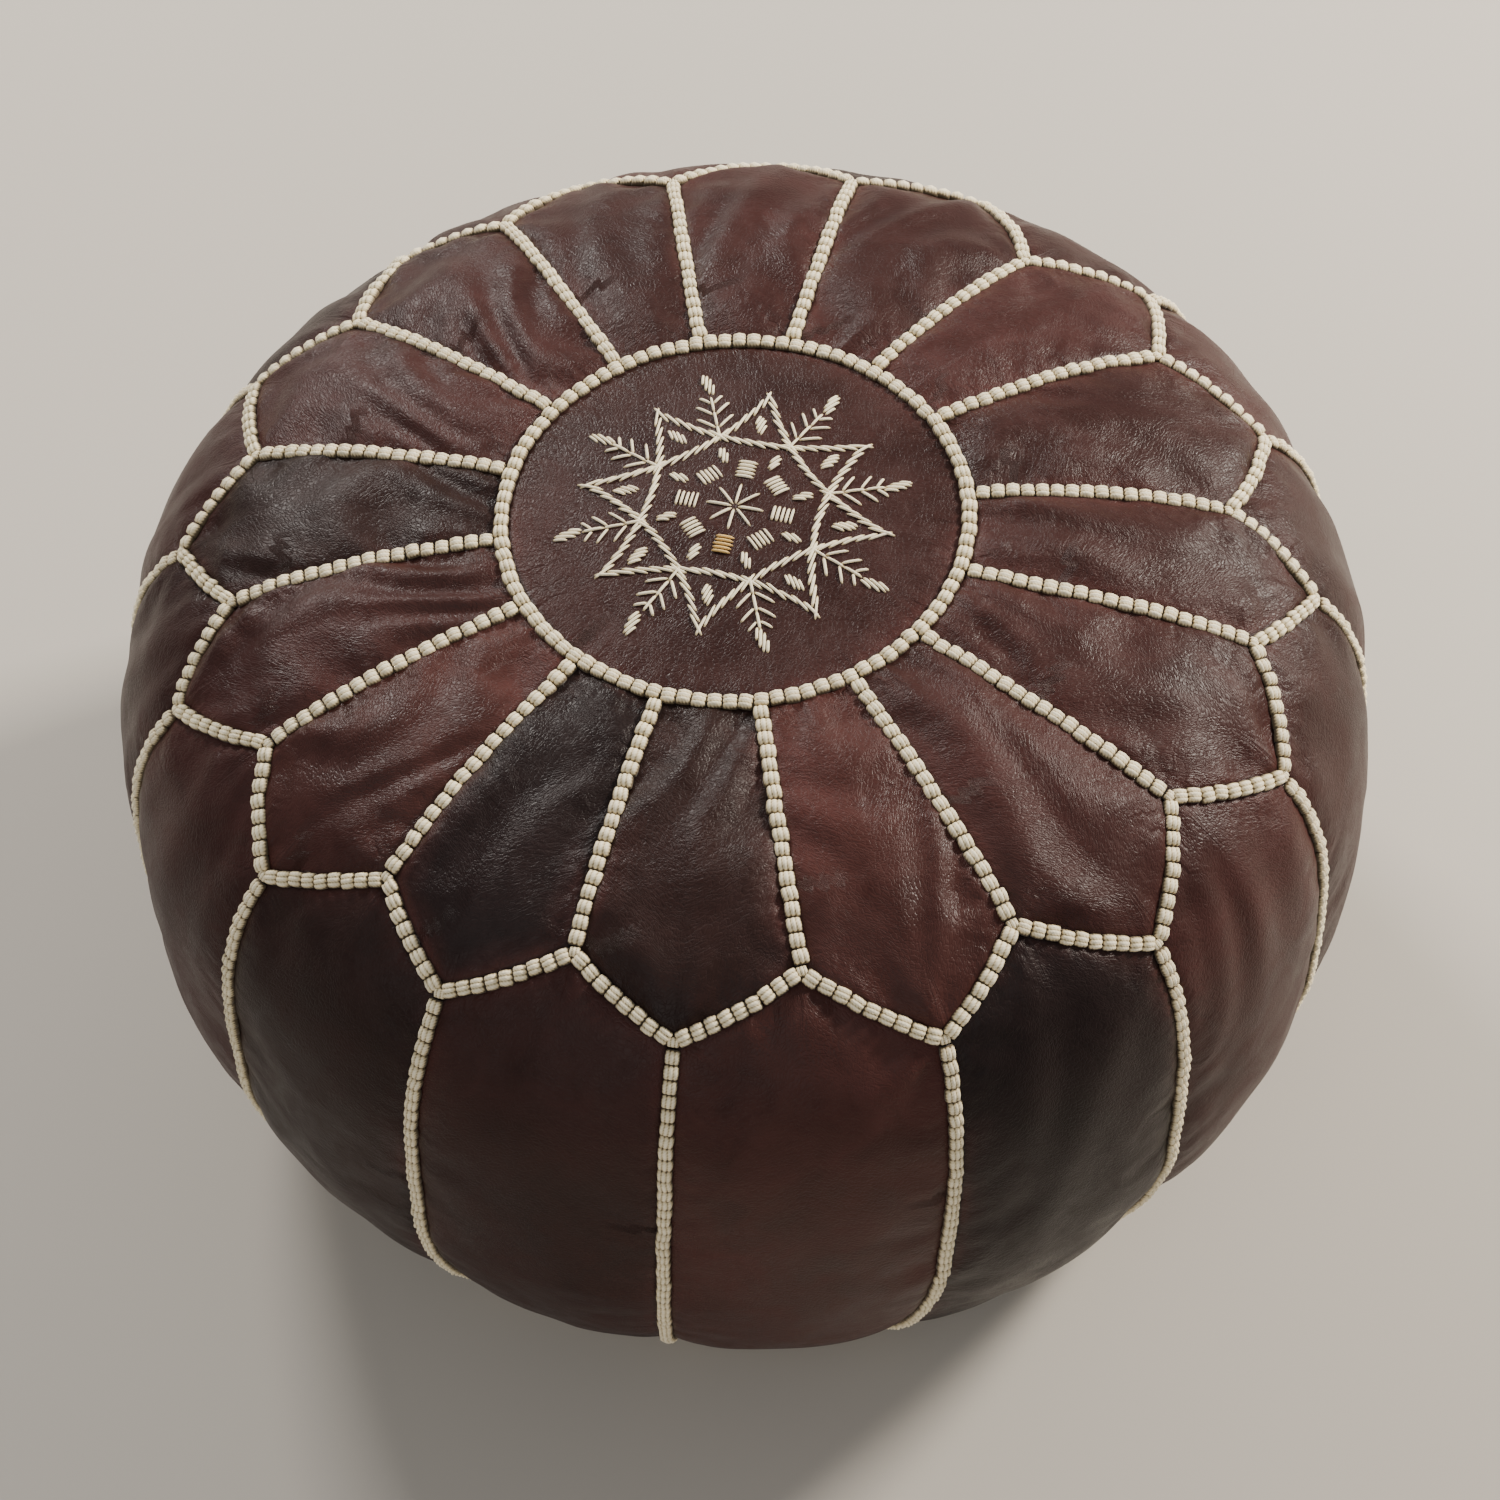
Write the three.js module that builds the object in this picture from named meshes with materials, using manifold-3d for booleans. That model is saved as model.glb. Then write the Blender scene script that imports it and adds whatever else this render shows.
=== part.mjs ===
// Moroccan leather pouf: a round filled cushion of sixteen petals and sixteen side panels
// sewn round a central medallion, with braided stitching over every seam and a zip in the base.
// Millimetres, +Z up, origin at the centre of the base.
import * as THREE from "three";
import { mergeVertices } from "three/addons/utils/BufferGeometryUtils.js";
import Module from "manifold-3d";

const wasm = await Module();
wasm.setup();

// ---- Driving dimensions ----

const petals = 16;

// Outer form of the cover along its seams: a flat crown, full sides and a tapering underside.
const widestRadius = 270;
const widestHeight = 150;
const crownHeight = 326;
const crownPower = 4; // superellipse power of the shoulder above the widest level
const underPower = 1.5; // the same below the widest level
const floorRadius = 196; // flat part of the underside

// Seam layout, seen from above.
const medallionRadius = 97;
const valleyInset = 57; // from the widest line in to the outer ends of the petal seams
const tipInset = 30; // the same to the pointed ends of the petals
const baseSeamHeight = 9;
const firstSeamAngle = 4; // degrees round from +X

// Hand-sewn seams wander: degrees round for the two ends of each petal seam, for each petal tip
// and for the foot of each side seam, and millimetres outwards for each valley and each tip.
const ringTurn = [-1, 2, 2, 2, 2.5, 2, 1, 0.5, 0, -1, -2, -2, -0.5, 0, -2, -2.5];
const valleyTurn = [-3.5, -0.5, -1, 2.5, 1.5, 0, 1, 1.5, 1, -1, -1, -1, 0.5, 0.5, 1, 1.5];
const tipTurn = [-1.5, -1, 0, 1, 0, -1, 0, 1.5, -1.5, -1.5, -1.5, -1, 1.5, 1.5, 1.5, 0.5];
const baseTurn = [0, 0, 1, 0, -1, 0, 1, 0, -2, -4.5, -5, -5, -4, 0, 1.5, 1];
const valleyShift = [-7, -6, -13, 9, 4, 6, -1, 0, -2, 0, 1, -2, 0, 5, 3, 5];
const tipShift = [-4, -5, 0, 2, 0, -2, 0, -3, 1, 1, -2, -5, 3, 7, 5, 2];

const leatherThickness = 1.6;
const seamGap = 0.5; // between the edges of two panels
const seamMargin = 4.5; // flat strip of leather beside a seam, under the braid
const puffShare = 0.085; // height of a panel's swelling as a share of its width
const medallionDome = 4;
const fillClearance = 2.4; // between the filling and the leather

const braidWidth = 6.4;
const braidHeight = 3;
const braidLift = 0.8; // the braid stands this far above the seam line
const braidTopShare = 0.6; // width of a braid's top as a share of its foot
const braidEndClearance = 2; // from a braid's end to the side of the braid it meets

const threadWidth = 1.6;
const threadHeight = 1;
const threadLift = 0.9;
const starPoints = 8;
const starAngle = 29; // degrees round from +X of one star point
const branchAngle = 7; // the same of one branch
const starTipShare = 0.665; // radii of the embroidery as shares of the medallion's
const starWaistShare = 0.365;
const branchFootShare = 0.34;
const branchTipShare = 0.81;
const chevronShare = 0.52;
const chevronLength = 10;
const chevronAngle = 50;
const hatchShare = 0.21;
const hatchSize = 8;

const channelLift = 7.5; // the base rises this far over the zip, which then clears the floor
const channelFlat = 20; // half-width of the raised strip
const channelEdge = 62; // half-width where the rise ends
const channelOverrun = 24; // the rise runs on this far past each end of the zip
const channelRamp = 16; // length over which it falls to the floor there
const baseTipWidth = 2.5; // half-width left at the narrow ends of the two base panels

const zipLength = 300;
const zipOpening = 7.6; // half-width between the leather edges at the zip
const zipEndTaper = 8;
const tapeWidth = 14;
const tapeThickness = 0.8;
const tapeClearance = 0.4;
const tapeHem = 5; // tape beyond each end of the zip's opening
const coilWidth = 2.8;
const coilHeight = 2;
const coilGap = 1.6; // between the two coils
const sliderLength = 12;
const sliderHalfWidth = 5.8;
const sliderPlate = 1.3;
const sliderFlange = 1.5;
const sliderClearance = 0.35;
const postWidth = 0.9;
const lugThickness = 1;
const lugGap = 4.4; // between the two lugs
const pinRadius = 0.6;
const pinClearance = 0.15;
const eyeRadius = 1.2;
const tabLength = 26;
const tabWidth = 7;
const tabThickness = 1.2;
const tabStemWidth = 3.6;
const tabStemLength = 3.6;

// Facets of the panels, as shares of their width and length less the flat margins.
const panelColumns = [0, 0.25, 0.5, 0.75, 1];
const petalRows = [0, 0.3, 0.5, 0.7, 1];
const sideRows = [0, 0.1, 0.22, 0.4, 0.65, 1];

// Facets of the other pieces, as shares of their own length or radius.
const medallionRings = [0, 1 / 3, 2 / 3, 1];
const zigzagRows = [0, 0.34, 0.67];
const baseChannelColumns = [0, 0.15, 0.3, 0.5, 0.75, 1]; // across the rise over the zip
const baseFlatColumns = [0.45, 0.85, 0.94, 1]; // from the rise to the seam
const baseChannelShare = 0.55; // most of a panel's width that the rise takes near its ends
const baseZipRows = [0, 0.2, 0.4, 0.6, 0.8, 0.95, 1]; // along the zip
const baseEndRows = [0, 0.35, 0.7, 0.92, 1]; // from the zip's end to the seam
const fillingPuffShare = 0.7; // of the leather's own swelling
const medallionSides = petals * 3;
const baseSides = petals * 4;
const pinSides = 16;
const shareTolerance = 1e-5;

// ---- Small tools ----

const toRadians = THREE.MathUtils.degToRad;
const mix = THREE.MathUtils.lerp;
const step = 360 / petals;

function numbered(count) {
  return Array.from({ length: count }, (_, i) => i);
}

function twoDigits(i) {
  return String(i + 1).padStart(2, "0");
}

function geometryFrom(points, faces) {
  const geometry = new THREE.BufferGeometry();
  const flat = points.flatMap((p) => [p.x, p.y, p.z]);
  geometry.setAttribute("position", new THREE.Float32BufferAttribute(flat, 3));
  geometry.setIndex(faces.flat());
  return geometry;
}

function toSolid(geometry) {
  const bare = geometry.index ? geometry.toNonIndexed() : geometry.clone();
  bare.deleteAttribute("normal");
  bare.deleteAttribute("uv");
  const merged = mergeVertices(bare, 1e-4);
  const vertProperties = merged.attributes.position.array;
  const triVerts = new Uint32Array(merged.index.array);
  return new wasm.Manifold(new wasm.Mesh({ numProp: 3, vertProperties, triVerts }));
}

function toGeometry(solid) {
  const mesh = solid.getMesh();
  const geometry = new THREE.BufferGeometry();
  geometry.setAttribute("position", new THREE.BufferAttribute(mesh.vertProperties, 3));
  geometry.setIndex(new THREE.BufferAttribute(mesh.triVerts, 1));
  return geometry;
}

function join(geometries) {
  return toGeometry(geometries.map(toSolid).reduce((sum, next) => sum.add(next)));
}

function box(x0, x1, y0, y1, z0, z1) {
  const geometry = new THREE.BoxGeometry(x1 - x0, y1 - y0, z1 - z0);
  return geometry.translate((x0 + x1) / 2, (y0 + y1) / 2, (z0 + z1) / 2);
}

// A closed sheet between two grids of points; each grid is a list of rows.
function sheetSolid(outer, inner) {
  const rows = outer.length;
  const columns = outer[0].length;
  const points = [...outer.flat(), ...inner.flat()];
  const shift = rows * columns;
  const at = (row, column) => row * columns + column;
  const faces = [];
  for (let row = 0; row < rows - 1; row++) {
    for (let column = 0; column < columns - 1; column++) {
      const [a, b] = [at(row, column), at(row, column + 1)];
      const [c, d] = [at(row + 1, column), at(row + 1, column + 1)];
      faces.push([a, c, b], [b, c, d]);
      faces.push([a + shift, b + shift, c + shift], [b + shift, d + shift, c + shift]);
    }
  }
  const rim = [
    ...numbered(columns - 1).map((i) => at(0, i)),
    ...numbered(rows - 1).map((i) => at(i, columns - 1)),
    ...numbered(columns - 1).map((i) => at(rows - 1, columns - 1 - i)),
    ...numbered(rows - 1).map((i) => at(rows - 1 - i, 0)),
  ];
  rim.forEach((p, i) => {
    const q = rim[(i + 1) % rim.length];
    faces.push([p, q, p + shift], [q, q + shift, p + shift]);
  });
  return geometryFrom(points, faces);
}

// A bar of constant section along a path of frames { point, up }, open or closed on itself.
function barSolid(frames, closed, width, height, topShare) {
  const count = frames.length;
  const foot = width / 2;
  const top = foot * topShare;
  const section = [[-foot, 0], [foot, 0], [top, height], [-top, height]];
  const points = frames.flatMap(({ point, up }, i) => {
    const before = frames[closed ? (i + count - 1) % count : Math.max(i - 1, 0)].point;
    const after = frames[closed ? (i + 1) % count : Math.min(i + 1, count - 1)].point;
    const back = point.clone().sub(before);
    const ahead = after.clone().sub(point);
    const along = back.clone().normalize().add(ahead.clone().normalize()).normalize();
    const side = up.clone().cross(along).normalize();
    const atEnd = ahead.length() === 0 || back.length() === 0;
    const turn = atEnd ? 1 : along.dot(ahead) / ahead.length();
    return section.map(([x, y]) =>
      point.clone().addScaledVector(side, x / turn).addScaledVector(up, y));
  });
  const size = section.length;
  const faces = [];
  for (let i = 0; i < (closed ? count : count - 1); i++) {
    const next = (i + 1) % count;
    for (let j = 0; j < size; j++) {
      const k = (j + 1) % size;
      const [a, b] = [i * size + j, i * size + k];
      const [c, d] = [next * size + j, next * size + k];
      faces.push([a, b, c], [b, d, c]);
    }
  }
  if (!closed) {
    const last = (count - 1) * size;
    faces.push([0, 2, 1], [0, 3, 2]);
    faces.push([last, last + 1, last + 2], [last, last + 2, last + 3]);
  }
  return geometryFrom(points, faces);
}

// ---- The seam surface ----
// A place on the cover is { angle, level }. Level 0 is the centre of the crown, 1 the widest
// line and 2 the edge of the flat underside.

function crownLevelAt(radius) {
  const across = radius / widestRadius;
  const up = (1 - across ** crownPower) ** (1 / crownPower);
  return Math.atan2(across, up) / (Math.PI / 2);
}

function underLevelAt(height) {
  const down = 1 - height / widestHeight;
  const across = (1 - down ** underPower) ** (1 / underPower);
  return 1 + Math.atan2(down, across) / (Math.PI / 2);
}

// Radius and height of the seam surface at a level, and its outward direction there.
function profileAt(level) {
  const above = level <= 1;
  const turn = (above ? level : level - 1) * (Math.PI / 2);
  const power = above ? crownPower : underPower;
  const across = above ? Math.sin(turn) : Math.cos(turn);
  const along = above ? Math.cos(turn) : Math.sin(turn);
  const size = (across ** power + along ** power) ** (-1 / power);
  const inset = above ? 0 : floorRadius;
  const halfWidth = widestRadius - inset;
  const halfHeight = above ? crownHeight - widestHeight : widestHeight;
  const sign = above ? 1 : -1;
  const outX = (across * size) ** (power - 1) / halfWidth;
  const outZ = (sign * (along * size) ** (power - 1)) / halfHeight;
  const length = Math.hypot(outX, outZ);
  return {
    radius: inset + halfWidth * across * size,
    height: widestHeight + sign * halfHeight * along * size,
    outX: outX / length,
    outZ: outZ / length,
  };
}

function surfaceFrame({ angle, level }, offset = 0) {
  const { radius, height, outX, outZ } = profileAt(level);
  const [c, s] = [Math.cos(toRadians(angle)), Math.sin(toRadians(angle))];
  const up = new THREE.Vector3(outX * c, outX * s, outZ);
  const point = new THREE.Vector3(radius * c, radius * s, height).addScaledVector(up, offset);
  return { point, up };
}

function placeBetween(from, to, share) {
  return { angle: mix(from.angle, to.angle, share), level: mix(from.level, to.level, share) };
}

// ---- Seam junctions ----

const ringLevel = crownLevelAt(medallionRadius);
const baseLevel = underLevelAt(baseSeamHeight);

// Junction i of each kind, where i runs on past the last petal to close the circle.
function turnOf(list, i) {
  return list[((i % petals) + petals) % petals];
}

function seamAngle(i) {
  return firstSeamAngle + i * step;
}

function ringJunction(i) {
  return { angle: seamAngle(i) + turnOf(ringTurn, i), level: ringLevel };
}

function valley(i) {
  const level = crownLevelAt(widestRadius - valleyInset + turnOf(valleyShift, i));
  return { angle: seamAngle(i) + turnOf(valleyTurn, i), level };
}

function tip(i) {
  const level = crownLevelAt(widestRadius - tipInset + turnOf(tipShift, i));
  return { angle: seamAngle(i + 0.5) + turnOf(tipTurn, i), level };
}

function baseJunction(i) {
  return { angle: seamAngle(i + 0.5) + turnOf(baseTurn, i), level: baseLevel };
}

function kinkedEdge(from, middle, to, share) {
  return share < 0.5
    ? placeBetween(from, middle, share * 2)
    : placeBetween(middle, to, share * 2 - 1);
}

function distanceBetween(a, b) {
  return surfaceFrame(a).point.distanceTo(surfaceFrame(b).point);
}

// Shares with a narrow margin added inside each end.
function withMargins(shares, margin) {
  return [0, ...shares.map((share) => mix(margin, 1 - margin, share)), 1];
}

// Share of a panel's length taken by the margin under the slanting zigzag braid.
function marginShare(fromLevel, toLevel) {
  const length = distanceBetween({ angle: 0, level: fromLevel }, { angle: 0, level: toLevel });
  return (seamMargin * Math.SQRT2) / length;
}

const petalMargin = marginShare(ringLevel, crownLevelAt(widestRadius - valleyInset));
const sideMargin = marginShare(crownLevelAt(widestRadius - tipInset), baseLevel);

// Each panel is a patch with a head edge and a foot edge, both running from share 0 to share 1.
function petalPatch(i) {
  return {
    head: (share) => placeBetween(ringJunction(i), ringJunction(i + 1), share),
    foot: (share) => kinkedEdge(valley(i), tip(i), valley(i + 1), share),
    margin: petalMargin,
    rows: withMargins(petalRows, petalMargin),
  };
}

function sidePatch(i) {
  return {
    head: (share) => kinkedEdge(tip(i - 1), valley(i), tip(i), share),
    foot: (share) => placeBetween(baseJunction(i - 1), baseJunction(i), share),
    margin: sideMargin,
    rows: withMargins(sideRows, sideMargin),
  };
}

function placeOnPatch(patch, across, down) {
  return placeBetween(patch.head(across), patch.foot(across), down);
}

function patchWidth(patch, down) {
  return distanceBetween(placeOnPatch(patch, 0, down), placeOnPatch(patch, 1, down));
}

function swell(share, margin) {
  const inside = THREE.MathUtils.clamp((share - margin) / (1 - 2 * margin), 0, 1);
  return Math.sqrt(4 * inside * (1 - inside));
}

// Height of a panel's swelling above the seam surface.
function puffAt(patch, across, down) {
  const width = patchWidth(patch, down);
  return puffShare * width * swell(across, seamMargin / width) * swell(down, patch.margin);
}

// ---- Leather ----

// Moves a share of the patch in from its edges, so that two panels never touch.
function trimmed(share, size) {
  const edge = seamGap / 2 / size;
  return mix(edge, 1 - edge, share);
}

function panelSolid(patch) {
  const length = distanceBetween(patch.head(0.5), patch.foot(0.5));
  const grid = (inset) => patch.rows.map((down) => {
    const width = patchWidth(patch, down);
    return withMargins(panelColumns, seamMargin / width).map((across) => {
      const puff = puffAt(patch, across, down);
      const place = placeOnPatch(patch, trimmed(across, width), trimmed(down, length / Math.SQRT2));
      return surfaceFrame(place, puff - inset).point;
    });
  });
  return sheetSolid(grid(0), grid(leatherThickness));
}

function domeHeight(radius) {
  return medallionDome * (1 - (radius / medallionRadius) ** 2);
}

function medallionSolid() {
  const edge = medallionRadius - seamGap / 2;
  const radii = medallionRings.map((share) => share * edge);
  const height = (radius) => profileAt(crownLevelAt(radius)).height + domeHeight(radius);
  const top = radii.map((radius) => new THREE.Vector2(radius, height(radius)));
  const under = radii.map((radius) => new THREE.Vector2(radius, height(radius) - leatherThickness));
  const geometry = new THREE.LatheGeometry([...under, ...top.reverse()], medallionSides);
  return geometry.rotateX(Math.PI / 2);
}

// ---- Braided stitching ----

function braidPath(places) {
  return places.map((place) => surfaceFrame(place, braidLift));
}

function ringBraidSolid(level, sides) {
  const places = numbered(sides).map((i) => ({ angle: firstSeamAngle + (i * 360) / sides, level }));
  return barSolid(braidPath(places), true, braidWidth, braidHeight, braidTopShare);
}

// Share of the way between two places at which a point lies this far from the first.
function shareAtDistance(from, to, distance) {
  let [near, far] = [0, 1];
  while (far - near > shareTolerance) {
    const middle = (near + far) / 2;
    if (distanceBetween(from, placeBetween(from, to, middle)) < distance) near = middle;
    else far = middle;
  }
  return near;
}

// A braid between two places, bent where the panels beside it are, that stops short of the
// braids it meets.
function seamBraidSolid(from, to, rows, shortStart, shortEnd) {
  const [first, last] = [shareAtDistance(from, to, shortStart), 1 - shareAtDistance(to, from, shortEnd)];
  const shares = [first, ...rows.filter((share) => share > first && share < last), last];
  const places = shares.map((share) => placeBetween(from, to, share));
  return barSolid(braidPath(places), false, braidWidth, braidHeight, braidTopShare);
}

const braidEndGap = braidWidth / 2 + braidEndClearance; // from a junction to a braid's end

function radialBraidSolid(i) {
  return seamBraidSolid(ringJunction(i), valley(i), petalPatch(i).rows, braidEndGap, braidEndGap);
}

function zigzagPlaces() {
  return numbered(petals).flatMap((i) => [
    ...zigzagRows.map((share) => placeBetween(valley(i), tip(i), share)),
    ...zigzagRows.map((share) => placeBetween(tip(i), valley(i + 1), share)),
  ]);
}

function zigzagNetSolid() {
  const sides = numbered(petals).map((i) =>
    seamBraidSolid(tip(i), baseJunction(i), sidePatch(i).rows, 0, braidEndGap));
  const zigzag = barSolid(braidPath(zigzagPlaces()), true, braidWidth, braidHeight, braidTopShare);
  return join([zigzag, ...sides]);
}

// ---- Embroidery ----

function medallionPoint(share, angle) {
  const radius = share * medallionRadius;
  const height = profileAt(crownLevelAt(radius)).height + domeHeight(radius) + threadLift;
  const turn = toRadians(angle);
  return new THREE.Vector3(radius * Math.cos(turn), radius * Math.sin(turn), height);
}

function threadSolid(points) {
  const frames = points.map((point) => ({ point, up: new THREE.Vector3(0, 0, 1) }));
  return barSolid(frames, false, threadWidth, threadHeight, 1);
}

// One eighth of the star: a bowed line, a thread run from the centre to the point, a hatched
// square on it, and the branch outside the crossing.
function starEighth(i) {
  const turn = (i * 360) / starPoints;
  const point = starAngle + turn;
  const branch = branchAngle + turn;
  const waist = point + 360 / starPoints;
  const line = threadSolid([
    medallionPoint(starTipShare, point),
    medallionPoint(starWaistShare, waist),
    medallionPoint(starTipShare, point + 720 / starPoints),
  ]);
  const run = threadSolid([0, 0.5, 1].map((share) => medallionPoint(share * starTipShare, point)));
  const stem = threadSolid([
    medallionPoint(branchFootShare, branch),
    medallionPoint(branchTipShare, branch),
  ]);
  const centre = medallionPoint(hatchShare, point);
  const half = hatchSize / 2;
  const square = new THREE.BoxGeometry(hatchSize, hatchSize, threadHeight).rotateZ(toRadians(point));
  square.translate(centre.x, centre.y, centre.z + threadHeight / 2);
  const chevron = [-1, 1].map((side) => {
    const root = medallionPoint(chevronShare, branch);
    const lean = toRadians(branch + side * chevronAngle);
    const arm = new THREE.Vector3(Math.cos(lean), Math.sin(lean), 0).multiplyScalar(chevronLength);
    return threadSolid([root, root.clone().add(arm)]);
  });
  return [line, run, stem, square, ...chevron];
}

function embroiderySolid() {
  return join(numbered(starPoints).flatMap(starEighth));
}

// ---- Base ----

const channelEnd = zipLength / 2 + channelOverrun;

// Rise of the base over the zip.
function channelRise(x, y) {
  const across = THREE.MathUtils.smoothstep(channelEdge - Math.abs(x), 0, channelEdge - channelFlat);
  const along = THREE.MathUtils.smoothstep(channelEnd - Math.abs(y), 0, channelRamp);
  return channelLift * across * along;
}

function basePoint(x, y, inset) {
  const radius = Math.hypot(x, y);
  const rolled = Math.max((radius - floorRadius) / (widestRadius - floorRadius), 0);
  const height = widestHeight * (1 - (1 - rolled ** underPower) ** (1 / underPower));
  const { outX, outZ } = profileAt(Math.min(underLevelAt(height), 2));
  const outward = (outX * inset) / radius;
  const lifted = height + channelRise(x, y) - outZ * inset;
  return new THREE.Vector3(x - x * outward, y - y * outward, lifted);
}

function basePanelSolid(side) {
  const edge = profileAt(baseLevel).radius - seamGap / 2;
  const openEnd = zipLength / 2;
  const closedEnd = openEnd + zipEndTaper;
  const last = Math.sqrt(edge ** 2 - baseTipWidth ** 2);
  const half = [
    ...baseZipRows.map((share) => share * openEnd),
    ...baseEndRows.map((share) => mix(closedEnd, last, share)),
  ];
  const lines = [...half.slice(1).reverse().map((y) => -y), ...half];
  const grid = (inset) => lines.map((y) => {
    const inner = Math.abs(y) <= openEnd ? zipOpening : seamGap;
    const outer = Math.sqrt(edge ** 2 - y ** 2);
    const bend = Math.min(channelEdge, mix(inner, outer, baseChannelShare));
    const columns = [
      ...baseChannelColumns.map((share) => mix(inner, bend, share)),
      ...baseFlatColumns.map((share) => mix(bend, outer, share)),
    ];
    return columns.map((x) => basePoint(side * x, y, inset));
  });
  return side > 0
    ? sheetSolid(grid(0), grid(leatherThickness))
    : sheetSolid(grid(0).reverse(), grid(leatherThickness).reverse());
}

// ---- Filling ----

const fillingInset = leatherThickness + fillClearance;

// A ring of points on one row of the panels' facets, two to each panel: one under its seam and
// one under its middle. A side panel starts half a petal earlier, so its first point is its middle.
function fillingRing(patchOf, down, firstHalf) {
  return numbered(petals * 2).map((k) => {
    const half = k + firstHalf;
    const patch = patchOf(Math.floor(half / 2));
    const across = (half % 2) / 2;
    const puff = fillingPuffShare * puffAt(patch, across, down);
    return surfaceFrame(placeOnPatch(patch, across, down), puff - fillingInset).point;
  });
}

function fillingSolid() {
  const rings = [
    ...petalPatch(0).rows.slice(0, -1).map((down) => fillingRing(petalPatch, down, 0)),
    ...sidePatch(0).rows.map((down) => fillingRing(sidePatch, down, 1)),
  ];
  const crown = new THREE.Vector3(0, 0, crownHeight - fillingInset);
  const bottomRadius = floorRadius - 2 * fillingInset;
  const bottom = rings.at(-1).map((p) => {
    const scale = bottomRadius / Math.hypot(p.x, p.y);
    return new THREE.Vector3(p.x * scale, p.y * scale, fillingInset);
  });
  const all = [...rings, bottom];
  const columns = bottom.length;
  const points = [...all.flat(), crown, new THREE.Vector3(0, 0, fillingInset)];
  const [top, base] = [points.length - 2, points.length - 1];
  const faces = [];
  all.slice(1).forEach((_, row) => {
    for (let column = 0; column < columns; column++) {
      const next = (column + 1) % columns;
      const [a, b] = [row * columns + column, row * columns + next];
      faces.push([a, a + columns, b], [b, a + columns, b + columns]);
    }
  });
  const lastRow = (all.length - 1) * columns;
  for (let column = 0; column < columns; column++) {
    const next = (column + 1) % columns;
    faces.push([top, column, next], [base, lastRow + next, lastRow + column]);
  }
  const whole = toSolid(geometryFrom(points, faces));
  const reach = channelEnd + fillClearance;
  const roof = channelLift + leatherThickness + tapeThickness + sliderPlate + 3 * fillClearance;
  const groove = toSolid(box(-channelEdge, channelEdge, -reach, reach, -roof, roof));
  return toGeometry(whole.subtract(groove));
}

// ---- Zip ----

const tapeBottom = channelLift + leatherThickness + tapeClearance;
const tapeTop = tapeBottom + tapeThickness;
const coilBottom = tapeBottom - coilHeight;
const coilInside = coilGap / 2;
const coilOutside = coilInside + coilWidth;
const sliderBottom = coilBottom - sliderClearance - sliderPlate;
const sliderTop = tapeTop + sliderClearance + sliderPlate;
const sliderPlace = zipLength / 2 - sliderLength;
const pinHeight = sliderBottom - eyeRadius - sliderClearance;
const pinPlace = sliderPlace - sliderLength / 4;

function zipTapeSolid(side) {
  const end = zipLength / 2 + tapeHem;
  const span = (a, b) => (side > 0 ? [a, b] : [-b, -a]);
  const tape = box(...span(coilInside, coilInside + tapeWidth), -end, end, tapeBottom, tapeTop);
  const coilEnd = zipLength / 2;
  const overlap = tapeThickness / 2;
  const coilTop = tapeBottom + overlap;
  const coil = box(...span(coilInside, coilOutside), -coilEnd, coilEnd, coilBottom, coilTop);
  return join([tape, coil]);
}

// A pin across the slider at the hinge line.
function hingePin(radius, length) {
  const pin = new THREE.CylinderGeometry(radius, radius, length, pinSides).rotateZ(Math.PI / 2);
  return pin.translate(0, pinPlace, pinHeight);
}

// A box and its mirror image across the zip, from x0 to x1 on the right.
function mirroredBoxes(x0, x1, ...rest) {
  return [box(x0, x1, ...rest), box(-x1, -x0, ...rest)];
}

function zipSliderSolid() {
  const [back, front] = [sliderPlace - sliderLength / 2, sliderPlace + sliderLength / 2];
  const plate = (z) => box(-sliderHalfWidth, sliderHalfWidth, back, front, z, z + sliderPlate);
  const [lower, upper] = [sliderBottom + sliderPlate / 2, sliderTop - sliderPlate / 2];
  const flangeTop = tapeBottom - sliderClearance;
  const flangeInside = sliderHalfWidth - sliderFlange;
  const flanges = mirroredBoxes(flangeInside, sliderHalfWidth, back, front, lower, flangeTop);
  const half = postWidth / 2;
  const post = box(-half, half, front - sliderLength / 3, front, lower, upper);
  const [lugBack, lugFront] = [pinPlace - eyeRadius, pinPlace + eyeRadius];
  const lugInside = lugGap / 2;
  const lugBottom = pinHeight - eyeRadius;
  const lugOutside = lugInside + lugThickness;
  const lugs = mirroredBoxes(lugInside, lugOutside, lugBack, lugFront, lugBottom, lower);
  const pin = hingePin(pinRadius, lugGap + lugThickness);
  return join([plate(sliderBottom), plate(sliderTop - sliderPlate), ...flanges, post, ...lugs, pin]);
}

function zipPullSolid() {
  const eye = hingePin(eyeRadius, tabStemWidth);
  const [low, high] = [pinHeight - tabThickness / 2, pinHeight + tabThickness / 2];
  const stemEnd = pinPlace - tabStemLength;
  const overlap = tabThickness / 2;
  const stem = box(-tabStemWidth / 2, tabStemWidth / 2, stemEnd - overlap, pinPlace, low, high);
  const blade = box(-tabWidth / 2, tabWidth / 2, pinPlace - tabLength, stemEnd, low, high);
  const hole = hingePin(pinRadius + pinClearance, tabStemWidth + eyeRadius);
  return toGeometry(toSolid(join([eye, stem, blade])).subtract(toSolid(hole)));
}

// ---- Assembly ----

const leatherTones = ["#4b322f", "#3a2a26", "#543331", "#422c2a", "#4f3734"];
const finishes = {
  leather: { roughness: 0.5, metalness: 0 },
  thread: { color: "#e9dfc6", roughness: 0.85, metalness: 0 },
  wadding: { color: "#e6e1d6", roughness: 0.95, metalness: 0 },
  tape: { color: "#2e2422", roughness: 0.85, metalness: 0 },
  brass: { color: "#8a6a3a", roughness: 0.35, metalness: 1 },
};

const group = new THREE.Group();
group.name = "moroccan_leather_pouf";

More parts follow.
